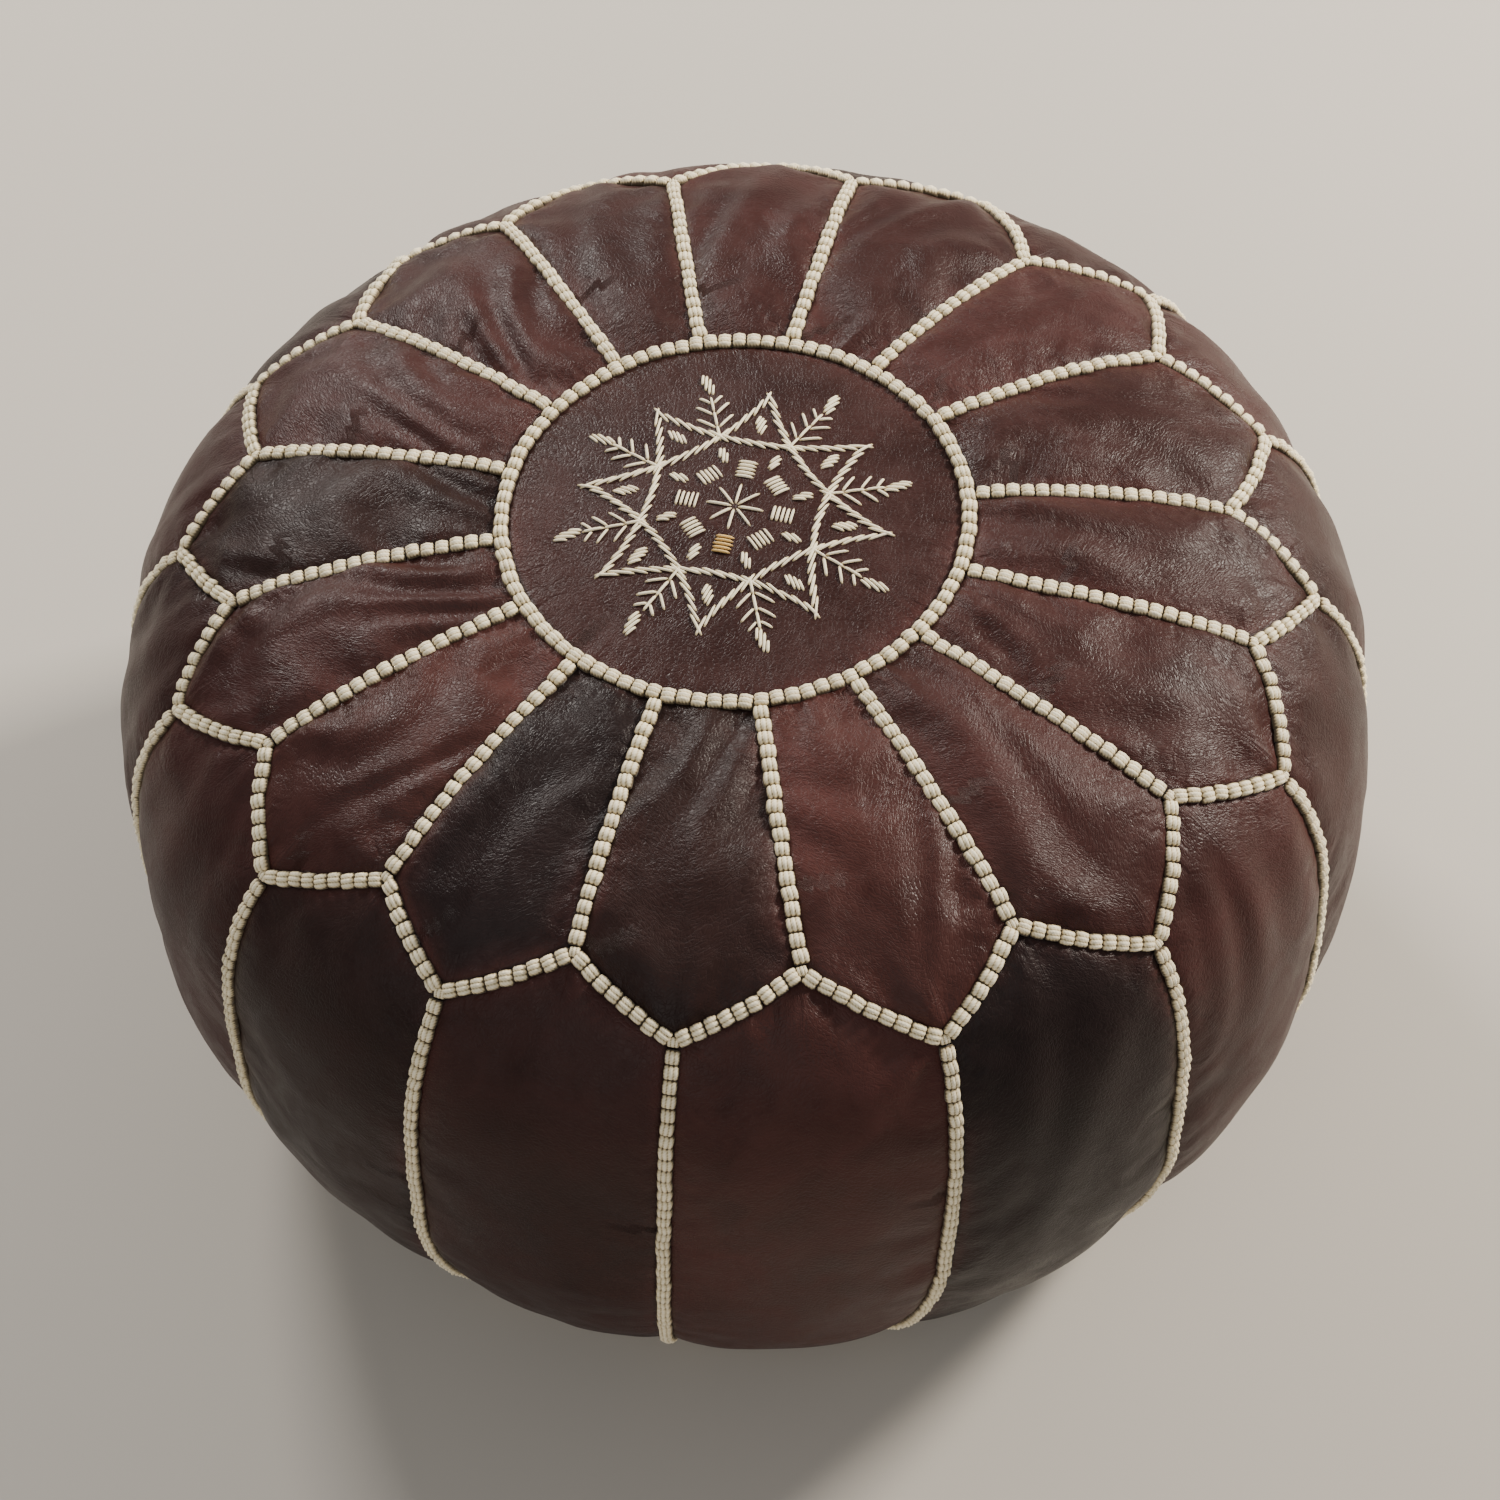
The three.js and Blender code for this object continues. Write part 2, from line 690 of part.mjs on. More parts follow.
function addMesh(name, geometry, finish, color) {
  const material = new THREE.MeshStandardMaterial({ ...finishes[finish], ...(color && { color }) });
  const mesh = new THREE.Mesh(geometry, material);
  mesh.name = name;
  group.add(mesh);
}

function toneOf(i) {
  return leatherTones[i % leatherTones.length];
}

addMesh("top_medallion", medallionSolid(), "leather", toneOf(0));
addMesh("star_embroidery", embroiderySolid(), "thread");
numbered(petals).forEach((i) => {
  addMesh("petal_" + twoDigits(i), panelSolid(petalPatch(i)), "leather", toneOf(i));
  addMesh("side_panel_" + twoDigits(i), panelSolid(sidePatch(i)), "leather", toneOf(i + 2));
  addMesh("petal_seam_braid_" + twoDigits(i), radialBraidSolid(i), "thread");
});
addMesh("medallion_braid", ringBraidSolid(ringLevel, medallionSides), "thread");
addMesh("zigzag_and_side_braid", zigzagNetSolid(), "thread");
addMesh("base_braid", ringBraidSolid(baseLevel, baseSides), "thread");
addMesh("base_panel_left", basePanelSolid(-1), "leather", toneOf(1));
addMesh("base_panel_right", basePanelSolid(1), "leather", toneOf(3));
addMesh("filling", fillingSolid(), "wadding");
addMesh("zip_tape_left", zipTapeSolid(-1), "tape");
addMesh("zip_tape_right", zipTapeSolid(1), "tape");
addMesh("zip_slider", zipSliderSolid(), "brass");
addMesh("zip_pull_tab", zipPullSolid(), "brass");

export default group;
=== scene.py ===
# Moroccan leather pouf: hand-dyed panels sewn with braided cream thread over a packed filling.
import bpy
import math
import random
import numpy as np
from mathutils import Matrix, Vector, noise
from mathutils.bvhtree import BVHTree
from mathutils.kdtree import KDTree


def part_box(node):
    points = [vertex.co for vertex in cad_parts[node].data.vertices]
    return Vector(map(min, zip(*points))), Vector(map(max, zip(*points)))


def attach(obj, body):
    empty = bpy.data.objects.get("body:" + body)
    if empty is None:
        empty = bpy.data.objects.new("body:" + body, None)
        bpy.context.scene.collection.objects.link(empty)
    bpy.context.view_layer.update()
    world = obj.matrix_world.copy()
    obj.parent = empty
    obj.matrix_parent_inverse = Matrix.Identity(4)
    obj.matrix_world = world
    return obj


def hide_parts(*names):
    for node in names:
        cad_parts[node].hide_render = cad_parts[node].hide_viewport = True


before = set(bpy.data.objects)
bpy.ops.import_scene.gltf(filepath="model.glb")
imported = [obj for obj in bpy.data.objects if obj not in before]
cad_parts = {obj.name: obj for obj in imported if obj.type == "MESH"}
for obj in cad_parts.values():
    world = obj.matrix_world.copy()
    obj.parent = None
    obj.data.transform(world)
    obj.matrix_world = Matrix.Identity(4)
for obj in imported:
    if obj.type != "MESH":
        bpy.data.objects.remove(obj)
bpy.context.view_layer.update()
bpy.ops.object.select_all(action="DESELECT")
mm = 0.001

# The seam layout of the cover, in millimetres and degrees.
seamPlan = {
    "petals": 16,
    "widestRadius": 270,
    "widestHeight": 150,
    "crownHeight": 326,
    "crownPower": 4,  # superellipse power of the shoulder
    "underPower": 1.5,  # the same under the widest line
    "floorRadius": 196,
    "medallionRadius": 97,
    "valleyInset": 57,  # from the widest line in to the outer ends of the petal seams
    "tipInset": 30,  # the same to the petal tips
    "baseSeamHeight": 9,
    "firstSeamAngle": 4,
    "medallionDome": 4,
    # how far each hand-sewn seam wanders
    "ringTurn": [-1, 2, 2, 2, 2.5, 2, 1, 0.5, 0, -1, -2, -2, -0.5, 0, -2, -2.5],
    "valleyTurn": [-3.5, -0.5, -1, 2.5, 1.5, 0, 1, 1.5, 1, -1, -1, -1, 0.5, 0.5, 1, 1.5],
    "tipTurn": [-1.5, -1, 0, 1, 0, -1, 0, 1.5, -1.5, -1.5, -1.5, -1, 1.5, 1.5, 1.5, 0.5],
    "baseTurn": [0, 0, 1, 0, -1, 0, 1, 0, -2, -4.5, -5, -5, -4, 0, 1.5, 1],
    "valleyShift": [-7, -6, -13, 9, 4, 6, -1, 0, -2, 0, 1, -2, 0, 5, 3, 5],
    "tipShift": [-4, -5, 0, 2, 0, -2, 0, -3, 1, 1, -2, -5, 3, 7, 5, 2],
}
petals = seamPlan["petals"]


# A place on the seam surface is (angle, level): 0 is the crown, 1 the widest line, 2 the floor's edge.
def crownLevelAt(radius):
    across = radius / seamPlan["widestRadius"]
    power = seamPlan["crownPower"]
    up = (1 - across ** power) ** (1 / power)
    return math.atan2(across, up) / (math.pi / 2)


def underLevelAt(height):
    down = 1 - height / seamPlan["widestHeight"]
    power = seamPlan["underPower"]
    across = (1 - down ** power) ** (1 / power)
    return 1 + math.atan2(down, across) / (math.pi / 2)


def profileAt(level):
    above = level <= 1
    turn = (level if above else level - 1) * math.pi / 2
    power = seamPlan["crownPower"] if above else seamPlan["underPower"]
    across = max(math.sin(turn) if above else math.cos(turn), 0)
    along = max(math.cos(turn) if above else math.sin(turn), 0)
    size = (across ** power + along ** power) ** (-1 / power)
    inset = 0 if above else seamPlan["floorRadius"]
    halfWidth = seamPlan["widestRadius"] - inset
    widest = seamPlan["widestHeight"]
    halfHeight = seamPlan["crownHeight"] - widest if above else widest
    sign = 1 if above else -1
    out = Vector(((across * size) ** (power - 1) / halfWidth,
                  sign * (along * size) ** (power - 1) / halfHeight)).normalized()
    return inset + halfWidth * across * size, widest + sign * halfHeight * along * size, out


def seamFrame(place, offset=0.0):
    angle, level = place
    radius, height, out = profileAt(level)
    c, s = math.cos(math.radians(angle)), math.sin(math.radians(angle))
    up = Vector((out.x * c, out.x * s, out.y))
    return Vector((radius * c, radius * s, height)) * mm + up * offset, up


def axesMatrix(x, y, z, origin):
    matrix = Matrix.Identity(4)
    for column, axis in enumerate((x, y, z, origin)):
        for row in range(3):
            matrix[row][column] = axis[row]
    return matrix


def between(a, b, share):
    return (a[0] + (b[0] - a[0]) * share, a[1] + (b[1] - a[1]) * share)


def drift(name, i):
    return seamPlan[name][i % petals]


def seamAngle(i):
    return seamPlan["firstSeamAngle"] + i * 360 / petals


ringLevel = crownLevelAt(seamPlan["medallionRadius"])
baseLevel = underLevelAt(seamPlan["baseSeamHeight"])


def ringJunction(i):
    return (seamAngle(i) + drift("ringTurn", i), ringLevel)


def insetLevel(inset, shift=0):
    return crownLevelAt(seamPlan["widestRadius"] - seamPlan[inset] + shift)


def valley(i):
    return (seamAngle(i) + drift("valleyTurn", i), insetLevel("valleyInset", drift("valleyShift", i)))


def tip(i):
    return (seamAngle(i + 0.5) + drift("tipTurn", i), insetLevel("tipInset", drift("tipShift", i)))


def baseJunction(i):
    return (seamAngle(i + 0.5) + drift("baseTurn", i), baseLevel)


def kinkedEdge(a, middle, b):
    # straight from a to the middle and from there to b
    def edgeAt(share):
        return between(a, middle, share * 2) if share < 0.5 else between(middle, b, share * 2 - 1)

    return edgeAt


def straightEdge(a, b):
    return lambda share: between(a, b, share)


def evenShares(fromLevel, toLevel, count):
    # shares of a run of levels that are evenly spaced over the leather
    fine = 400
    points = [Vector(profileAt(fromLevel + (toLevel - fromLevel) * k / fine)[:2]) for k in range(fine + 1)]
    lengths = np.concatenate([[0], np.cumsum([(b - a).length for a, b in zip(points, points[1:])])])
    return np.interp(np.linspace(0, lengths[-1], count + 1), lengths, np.linspace(0, 1, fine + 1))


leatherCut = {
    "columns": 24,
    "petalRows": 32,
    "sideRows": 64,
    "medallionColumns": 52,
    "thickness": 1.6 * mm,
    "startPuff": 2 * mm,
    "petalSlack": 1.4 * mm,
    "sideSlack": 0.7 * mm,
    "medallionGive": 0.1,  # the medallion is drawn tight by its ring, so it hardly swells
    "foldReach": 30 * mm,
    "foldDepth": 1.7 * mm,
    "lump": 1.8 * mm,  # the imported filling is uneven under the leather
    "lumpSpan": 75 * mm,
    "dentSpan": 26 * mm,
    "seamHold": 14 * mm,  # the lumps fade out over this much leather beside a seam
    "quickPuff": 9 * mm,
    "mostPuff": 17 * mm,
    "seamDip": 1.2 * mm,  # the leather turns down under the braid
}

clothRun = {
    "frames": 22,
    "mass": 0.4,
    "pressure": 3.2,
    "excess": 0.012,
    "bending": 2.0,
    "tension": 22.0,
    "quality": 6,
}


def deselectAll():
    if bpy.context.object and bpy.context.object.mode != "OBJECT":
        bpy.ops.object.mode_set(mode="OBJECT")
    bpy.ops.object.select_all(action="DESELECT")


def makeActive(piece):
    deselectAll()
    piece.select_set(True)
    bpy.context.view_layer.objects.active = piece


def applyModifier(piece, name):
    makeActive(piece)
    bpy.ops.object.modifier_apply(modifier=name)


def addGrid(name, columns, rows, size):
    deselectAll()
    bpy.ops.mesh.primitive_grid_add(x_subdivisions=columns, y_subdivisions=rows, size=size)
    grid = bpy.context.object
    grid.name = name
    grid.data.name = name
    return grid


def keepValues(mesh, name, values):
    mesh.attributes.new(name, "FLOAT", "POINT").data.foreach_set("value", values)


def placeTree(numbered):
    tree = KDTree(len(numbered))
    for k, co in numbered:
        tree.insert(co, k)
    tree.balance()
    return tree


def thicken(piece, thickness):
    # the modelled surface is the outer face
    wall = piece.modifiers.new("wall", "SOLIDIFY")
    wall.thickness = thickness
    wall.offset = -1
    applyModifier(piece, "wall")


def editWhole(piece):
    makeActive(piece)
    bpy.ops.object.mode_set(mode="EDIT")
    bpy.ops.mesh.select_all(action="SELECT")


def flipFaces(piece):
    editWhole(piece)
    bpy.ops.mesh.flip_normals()
    bpy.ops.object.mode_set(mode="OBJECT")


def isSeam(v):
    return any(g.weight > 0.5 for g in v.groups)


def panelSwell(across, down):
    # nought along the seams and 1 in the middle of the panel
    return math.sqrt(max(16 * across * (1 - across) * down * (1 - down), 0))


def keepCut(panel, across, down):
    # millimetres over the flat cut of the leather; the grain follows them
    keepValues(panel.data, "acrossCut", across)
    keepValues(panel.data, "downCut", down)


def addPanel(name, head, foot, rowShares, slack):
    # leather is cut a little too wide, in loose lengthwise waves that the stuffing fills out
    rows = len(rowShares) - 1
    waves, phase, bend = random.uniform(1.4, 2.8), random.uniform(0, 6.3), random.uniform(0.2, 0.6)
    slack = slack * random.uniform(0.6, 1.2)
    panel = addGrid(name, leatherCut["columns"], rows, 1)
    puff = leatherCut["startPuff"]
    border = panel.vertex_groups.new(name="seam")
    acrossCut, downCut = [], []
    length = (seamFrame(head(0.5))[0] - seamFrame(foot(0.5))[0]).length
    for v in panel.data.vertices:
        across = v.co.x + 0.5
        row = round((0.5 - v.co.y) * rows)
        down = float(rowShares[row])
        onSeam = row in (0, rows) or across < 0.001 or across > 0.999
        if onSeam:
            border.add([v.index], 1, "REPLACE")
        place = between(head(across), foot(across), down)
        swell = panelSwell(across, row / rows)
        wander = bend * math.sin(6.3 * (1.2 * down + across * 0.4) + phase)
        wave = slack * math.sin(6.3 * (waves * across + wander) + phase * 2) * min(swell * 1.6, 1)
        v.co = seamFrame(place, 0 if onSeam else puff * swell + wave)[0]
        left, right = (seamFrame(between(head(k), foot(k), down))[0] for k in (0, 1))
        width = (left - right).length
        acrossCut.append(across * width / mm)
        downCut.append(row / rows * length / mm)
    keepCut(panel, acrossCut, downCut)
    return panel


def addMedallion():
    # a square grid eased out to a disc, so that no line of it runs to a pole
    count = leatherCut["medallionColumns"]
    medallion = addGrid("topMedallion", count, count, 2)
    radius = seamPlan["medallionRadius"] * mm
    border = medallion.vertex_groups.new(name="seam")
    for v in medallion.data.vertices:
        x, y = v.co.x, v.co.y
        if max(abs(x), abs(y)) > 0.999:
            border.add([v.index], 1, "REPLACE")
        across, along = x * math.sqrt(1 - y * y / 2), y * math.sqrt(1 - x * x / 2)
        away = math.hypot(across, along)
        dome = seamPlan["medallionDome"] * mm * (1 - away ** 2)
        height = profileAt(crownLevelAt(away * seamPlan["medallionRadius"]))[1] * mm
        v.co = Vector((across * radius, along * radius, height + dome))
    keepCut(medallion, *([v.co[axis] / mm for v in medallion.data.vertices] for axis in (0, 1)))
    return medallion


def addLeatherPanels():
    random.seed(7)
    tipLevel = insetLevel("tipInset")
    petalShares = evenShares(ringLevel, tipLevel, leatherCut["petalRows"])
    sideShares = evenShares(tipLevel, baseLevel, leatherCut["sideRows"])
    made = {}
    for i in range(petals):
        number = f"{i + 1:02d}"
        made["petal_" + number] = addPanel(
            "petal" + number, straightEdge(ringJunction(i), ringJunction(i + 1)),
            kinkedEdge(valley(i), tip(i), valley(i + 1)), petalShares, leatherCut["petalSlack"])
        made["side_panel_" + number] = addPanel(
            "sidePanel" + number, kinkedEdge(tip(i - 1), valley(i), tip(i)),
            straightEdge(baseJunction(i - 1), baseJunction(i)), sideShares, leatherCut["sideSlack"])
    made["top_medallion"] = addMedallion()
    return made


def recordSeams(panel):
    # distance to the nearest seam and the run along it, in millimetres, for wear and puckers
    rim = [v.index for v in panel.data.vertices if isSeam(v)]
    middle = sum((panel.data.vertices[k].co for k in rim), Vector()) / len(rim)
    facing = sum((p.normal for p in panel.data.polygons), Vector()).normalized()
    east = facing.orthogonal().normalized()
    north = facing.cross(east)
    turned = sorted((math.atan2((panel.data.vertices[k].co - middle).dot(north),
                                (panel.data.vertices[k].co - middle).dot(east)), k) for k in rim)
    runs, last, run = {}, panel.data.vertices[turned[-1][1]].co, 0.0
    for _, k in turned:
        co = panel.data.vertices[k].co
        run += (co - last).length
        runs[k] = run
        last = co
    tree = placeTree([(k, panel.data.vertices[k].co) for k in rim])
    nearest = [tree.find(v.co) for v in panel.data.vertices]
    keepValues(panel.data, "seamDistance", [n[2] / mm for n in nearest])
    keepValues(panel.data, "seamRun", [runs[n[1]] / mm for n in nearest])


def sewCover(panels):
    deselectAll()
    for panel in panels:
        panel.select_set(True)
    bpy.context.view_layer.objects.active = panels[0]
    bpy.ops.object.duplicate()
    bpy.ops.object.join()
    cover = bpy.context.object
    cover.name = "sewnCover"
    editWhole(cover)
    bpy.ops.mesh.remove_doubles(threshold=0.02 * mm)
    bpy.ops.object.mode_set(mode="OBJECT")
    return cover


def inflate(cover):
    cloth = cover.modifiers.new("leather", "CLOTH")
    settings = cloth.settings
    settings.quality = clothRun["quality"]
    settings.mass = clothRun["mass"]
    settings.tension_stiffness = clothRun["tension"]
    settings.compression_stiffness = clothRun["tension"]
    settings.shear_stiffness = clothRun["tension"] / 2
    settings.bending_stiffness = clothRun["bending"]
    settings.shrink_min = -clothRun["excess"]
    settings.vertex_group_mass = "seam"
    settings.use_pressure = True
    settings.uniform_pressure_force = clothRun["pressure"]
    settings.effector_weights.gravity = 0
    cloth.collision_settings.use_collision = False
    cloth.point_cache.frame_end = clothRun["frames"]
    for f in range(1, clothRun["frames"] + 1):
        bpy.context.scene.frame_set(f)
    applyModifier(cover, cloth.name)
    bpy.context.scene.frame_set(1)


def seamCorners():
    # each corner of the zigzag gathers the leather in its own number of small folds
    corners = []
    for i in range(petals):
        for place in (tip(i), valley(i)):
            point, up = seamFrame(place)
            east = up.orthogonal().normalized()
            folds, phase, depth = random.randint(5, 8), random.uniform(0, 6.3), random.uniform(0.4, 1)
            corners.append((point, east, up.cross(east), folds, phase, depth))
    return corners


def cornerFold(co, corners):
    nearest = min(corners, key=lambda corner: (corner[0] - co).length_squared)
    point, east, north, folds, phase, depth = nearest
    away = co - point
    turn = math.atan2(away.dot(north), away.dot(east))
    fade = math.exp(-(away.length / leatherCut["foldReach"]) ** 2) * min(away.length / (10 * mm), 1)
    return leatherCut["foldDepth"] * depth * fade * math.sin(folds * turn + phase)


def shapePanels(made):
    panels = list(made.values())
    for panel in panels:
        recordSeams(panel)
    cover = sewCover(panels)
    random.seed(4)
    free = {v.index for v in cover.data.vertices if not isSeam(v)}
    for v in cover.data.vertices:
        if v.index in free:  # no two hides are cut or stuffed alike
            v.co += Vector([random.uniform(-0.3, 0.3) * mm for _ in range(3)])
    rest = [v.co.copy() for v in cover.data.vertices]
    numbered = list(enumerate(rest))
    tree = placeTree(numbered)
    inflate(cover)
    shaped = [v.co.copy() for v in cover.data.vertices]
    corners = seamCorners()
    seams = placeTree([(k, co) for k, co in numbered if k not in free])
    for panel in panels:
        give = leatherCut["medallionGive"] if panel.name == "topMedallion" else 1
        for v in panel.data.vertices:
            k = tree.find(v.co)[1]
            move = (shaped[k] - rest[k]) * give
            dent = noise.noise(v.co / leatherCut["dentSpan"])
            lump = noise.noise(v.co / leatherCut["lumpSpan"]) + 0.35 * dent
            v.co += move.normalized() * min(move.length, leatherCut["mostPuff"])
            if not isSeam(v):
                held = min(seams.find(v.co)[2] / leatherCut["seamHold"], 1)
                lift = lump * leatherCut["lump"] * min(give + 0.4, 1) * held + cornerFold(v.co, corners)
                v.co += (v.co - Vector((0, 0, 120 * mm))).normalized() * lift
    bpy.data.objects.remove(cover)


def finishPanel(piece, node, material):
    for v in piece.data.vertices:
        if isSeam(v):
            outward = Vector((v.co.x, v.co.y, v.co.z - seamPlan["widestHeight"] * mm)).normalized()
            v.co -= outward * leatherCut["seamDip"]
    piece.vertex_groups.clear()
    subdivision = piece.modifiers.new("smooth", "SUBSURF")
    subdivision.levels = 1
    applyModifier(piece, "smooth")
    thicken(piece, leatherCut["thickness"])
    bpy.ops.object.shade_smooth()
    piece.data.materials.clear()
    piece.data.materials.append(material)
    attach(piece, "pouf")
    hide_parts(node)


def meshArrays(piece):
    points = np.array([v.co[:] for v in piece.data.vertices])
    faces = [list(p.vertices) for p in piece.data.polygons]
    return points, faces


def stampCopies(name, template, places, material):
    # each place is (matrix, shade); the shade is kept as a colour variation per stitch
    points, faces, paintedShade, uv = template
    count = len(points)
    homogeneous = np.hstack([points, np.ones((count, 1))])
    allPoints = np.vstack([(homogeneous @ np.array(matrix).T)[:, :3] for matrix, _ in places])
    allFaces = [[k + count * i for k in face] for i in range(len(places)) for face in faces]
    mesh = bpy.data.meshes.new(name)
    mesh.from_pydata(allPoints.tolist(), [], allFaces)
    keepValues(mesh, "shade", np.repeat([s for _, s in places], count))
    # the template's painted shade, darker in grooves and at ends, goes to every copy
    keepValues(mesh, "paintedShade", np.tile(paintedShade, len(places)))
    loops = np.empty(len(mesh.loops), dtype=np.int32)
    mesh.loops.foreach_get("vertex_index", loops)
    layer = mesh.uv_layers.new(name="UVMap")
    layer.data.foreach_set("uv", uv[loops % count].ravel())
    mesh.polygons.foreach_set("use_smooth", [True] * len(mesh.polygons))
    mesh.materials.append(material)
    mesh.update()
    piece = bpy.data.objects.new(name, mesh)
    bpy.context.scene.collection.objects.link(piece)
    return piece


braidStitch = {
    "pitch": 6.25 * mm,
    "width": 6.6 * mm,
    "height": 3.7 * mm,
    "foot": 1.2 * mm,  # how far a knot's sides run down into the leather
    "lift": 0.1 * mm,
    "strands": 3,
    "steps": 40,  # frames measured between two places of a run
    "ringPlaces": 96,
}


def addCapsule(segments, rings):
    # a unit ball turned so that its poles lie along X
    deselectAll()
    bpy.ops.mesh.primitive_uv_sphere_add(segments=segments, ring_count=rings, radius=1)
    ball = bpy.context.object
    editWhole(ball)
    bpy.ops.transform.rotate(value=math.pi / 2, orient_axis="Y", center_override=(0, 0, 0))
    bpy.ops.object.mode_set(mode="OBJECT")
    return ball


def addBraidTemplate():
    # one knot of the braid: three strands side by side, pinched at both ends
    knot = addGrid("braidKnot", 4, 9, 2)
    paintedShade = []
    for v in knot.data.vertices:
        along, across = math.copysign(abs(v.co.x) ** 0.36, v.co.x), v.co.y
        bulge = (1 - abs(along) ** 3.2) ** 0.5
        strand = abs(math.cos(across * math.pi * braidStitch["strands"] / 2))
        arch = (1 - abs(across) ** 2.6) ** 0.5
        height = (0.2 + 0.8 * bulge) * (0.25 + 0.75 * arch) * (0.76 + 0.24 * strand)
        v.co.x = along * braidStitch["pitch"] * 0.5
        v.co.y = across * braidStitch["width"] / 2 * (0.76 + 0.24 * bulge)
        v.co.z = height * braidStitch["height"]
        # painted shade: 0 on the crowns, up to 1 in the grooves between strands and at the pinched ends
        paintedShade.append(1 - (0.1 + 0.9 * bulge) * (0.4 + 0.6 * strand) * (0.45 + 0.55 * arch))
    editWhole(knot)
    bpy.ops.mesh.region_to_loop()
    bpy.ops.mesh.extrude_edges_move(TRANSFORM_OT_translate={"value": (0, 0, -braidStitch["foot"])})
    bpy.ops.mesh.edge_face_add()
    bpy.ops.mesh.select_all(action="SELECT")
    bpy.ops.mesh.normals_make_consistent(inside=False)
    bpy.ops.object.mode_set(mode="OBJECT")
    points, faces = meshArrays(knot)
    # the sides and foot of the knot are given full painted shade
    paintedShade += [1.0] * (len(points) - len(paintedShade))
    uv = points[:, :2] / mm
    bpy.data.objects.remove(knot)
    return points, faces, paintedShade, uv


def placesAlong(places, pitch, closed=False, shortStart=0.0, shortEnd=0.0):
    # frames every pitch along a run of places on the seam surface
    if closed:  # back to the first place, a turn on
        places = places + [(places[0][0] + 360, places[0][1])]
    steps = braidStitch["steps"]
    fine = [between(a, b, k / steps) for a, b in zip(places, places[1:]) for k in range(steps)]
    frames = [seamFrame(p, braidStitch["lift"]) for p in fine + [places[-1]]]
    points = np.array([f[0][:] for f in frames])
    lengths = np.concatenate([[0], np.cumsum(np.linalg.norm(np.diff(points, axis=0), axis=1))])
    start, end = shortStart, lengths[-1] - shortEnd
    count = max(round((end - start) / pitch), 1)
    spacing = (end - start) / count
    made = []
    for k in range(count):
        middle = start + (k + 0.5) * spacing
        index = min(max(np.searchsorted(lengths, middle), 1), len(frames) - 1)
        share = (middle - lengths[index - 1]) / max(lengths[index] - lengths[index - 1], 1e-9)
        point = frames[index - 1][0].lerp(frames[index][0], share)
        along = (frames[index][0] - frames[index - 1][0]).normalized()
        up = frames[index][1]
        side = up.cross(along).normalized()
        made.append((point, along, side, along.cross(side), spacing))
    return made


def stitchPlaces(run, size=1.0):
    made = []
    for point, along, side, up, spacing in run:
        stretch = spacing / braidStitch["pitch"] * random.uniform(0.97, 1.03)
        width = size * random.uniform(0.93, 1.06)
        height = size * random.uniform(0.92, 1.08)
        turn = Matrix.Rotation(random.gauss(0, 0.08), 4, up)
        turn = turn @ Matrix.Rotation(random.gauss(0, 0.05), 4, along)
        axes = axesMatrix(along * stretch, side * width, up * height, (0, 0, 0))
        shift = Matrix.Translation(point + side * random.gauss(0, 0.22) * mm)
        made.append((shift @ turn @ axes, random.uniform(0.45, 1)))
    return made


def finishStitches(piece, node):
    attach(piece, "pouf")
    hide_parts(node)


def addBraids(material):
    template = addBraidTemplate()
    pitch = braidStitch["pitch"]
    half = braidStitch["width"] / 2
    random.seed(11)

    def addRing(name, node, firstAngle, level):
        count = braidStitch["ringPlaces"]
        ring = [(firstAngle + k * 360 / count, level) for k in range(count)]
        piece = stampCopies(name, template, stitchPlaces(placesAlong(ring, pitch, closed=True)), material)
        finishStitches(piece, node)

    addRing("medallionBraid", "medallion_braid", seamPlan["firstSeamAngle"], ringLevel)
    for i in range(petals):
        run = placesAlong([ringJunction(i), valley(i)], pitch, shortStart=half, shortEnd=half * 0.8)
        number = f"{i + 1:02d}"
        piece = stampCopies("petalSeamBraid" + number, template, stitchPlaces(run), material)
        finishStitches(piece, "petal_seam_braid_" + number)
    net = []
    for i in range(petals):
        for leg in ([valley(i), tip(i)], [tip(i), valley(i + 1)]):
            net += stitchPlaces(placesAlong(leg, pitch, shortStart=half * 0.45, shortEnd=half * 0.45))
        side = placesAlong([tip(i), baseJunction(i)], pitch * 0.95, shortStart=half * 0.9, shortEnd=half)
        net += stitchPlaces(side, 0.94)
        for place in (tip(i), valley(i)):
            # a small knot over each crossing
            point, up = seamFrame(place, braidStitch["lift"])
            along = (seamFrame((place[0], place[1] + 0.01))[0] - seamFrame(place)[0]).normalized()
            net += stitchPlaces([(point, along, up.cross(along).normalized(), up, pitch * 0.7)], 0.72)
    piece = stampCopies("zigzagAndSideBraid", template, net, material)
    finishStitches(piece, "zigzag_and_side_braid")
    addRing("baseBraid", "base_braid", 0, baseLevel)


starWork = {
    "points": 8,
    "starAngle": 29,
    "branchAngle": 7,
    "starTip": 0.665,  # radii as shares of the medallion's
    "starWaist": 0.365,
    "width": 1.2 * mm,
    "height": 1.15 * mm,
    "length": 12.0 * mm,
    "slant": 15,
    "spacing": 5.5 * mm,
    "leafLean": -12,
    "hatchStrokes": 5,
    "hatchPitch": 1.95 * mm,
    "hatchSize": 8.8 * mm,
}


def addThreadTemplate():
    # a plump thread that dives into the leather at both ends, from -1 to 1 along X
    thread = addCapsule(8, 7)
    paintedShade = []
    for v in thread.data.vertices:
        along = max(-1, min(1, v.co.x))
        full = (1 - abs(along) ** 5) ** 0.5 / math.sqrt(max(1 - along ** 2, 1e-6))
        v.co.y *= full * 0.5
        v.co.z = v.co.z * full * 0.5 - 0.75 * abs(along) ** 4 + 0.28
        # painted shade: darker towards the ends, where the thread dives into the leather, and on its
        # underside
        paintedShade.append(min(0.15 + 0.85 * abs(along) ** 6 + 0.5 * max(-v.co.z, 0), 1))
    points, faces = meshArrays(thread)
    uv = points[:, :2] * np.array([4.3, 1.2])
    bpy.data.objects.remove(thread)
    return points, faces, paintedShade, uv


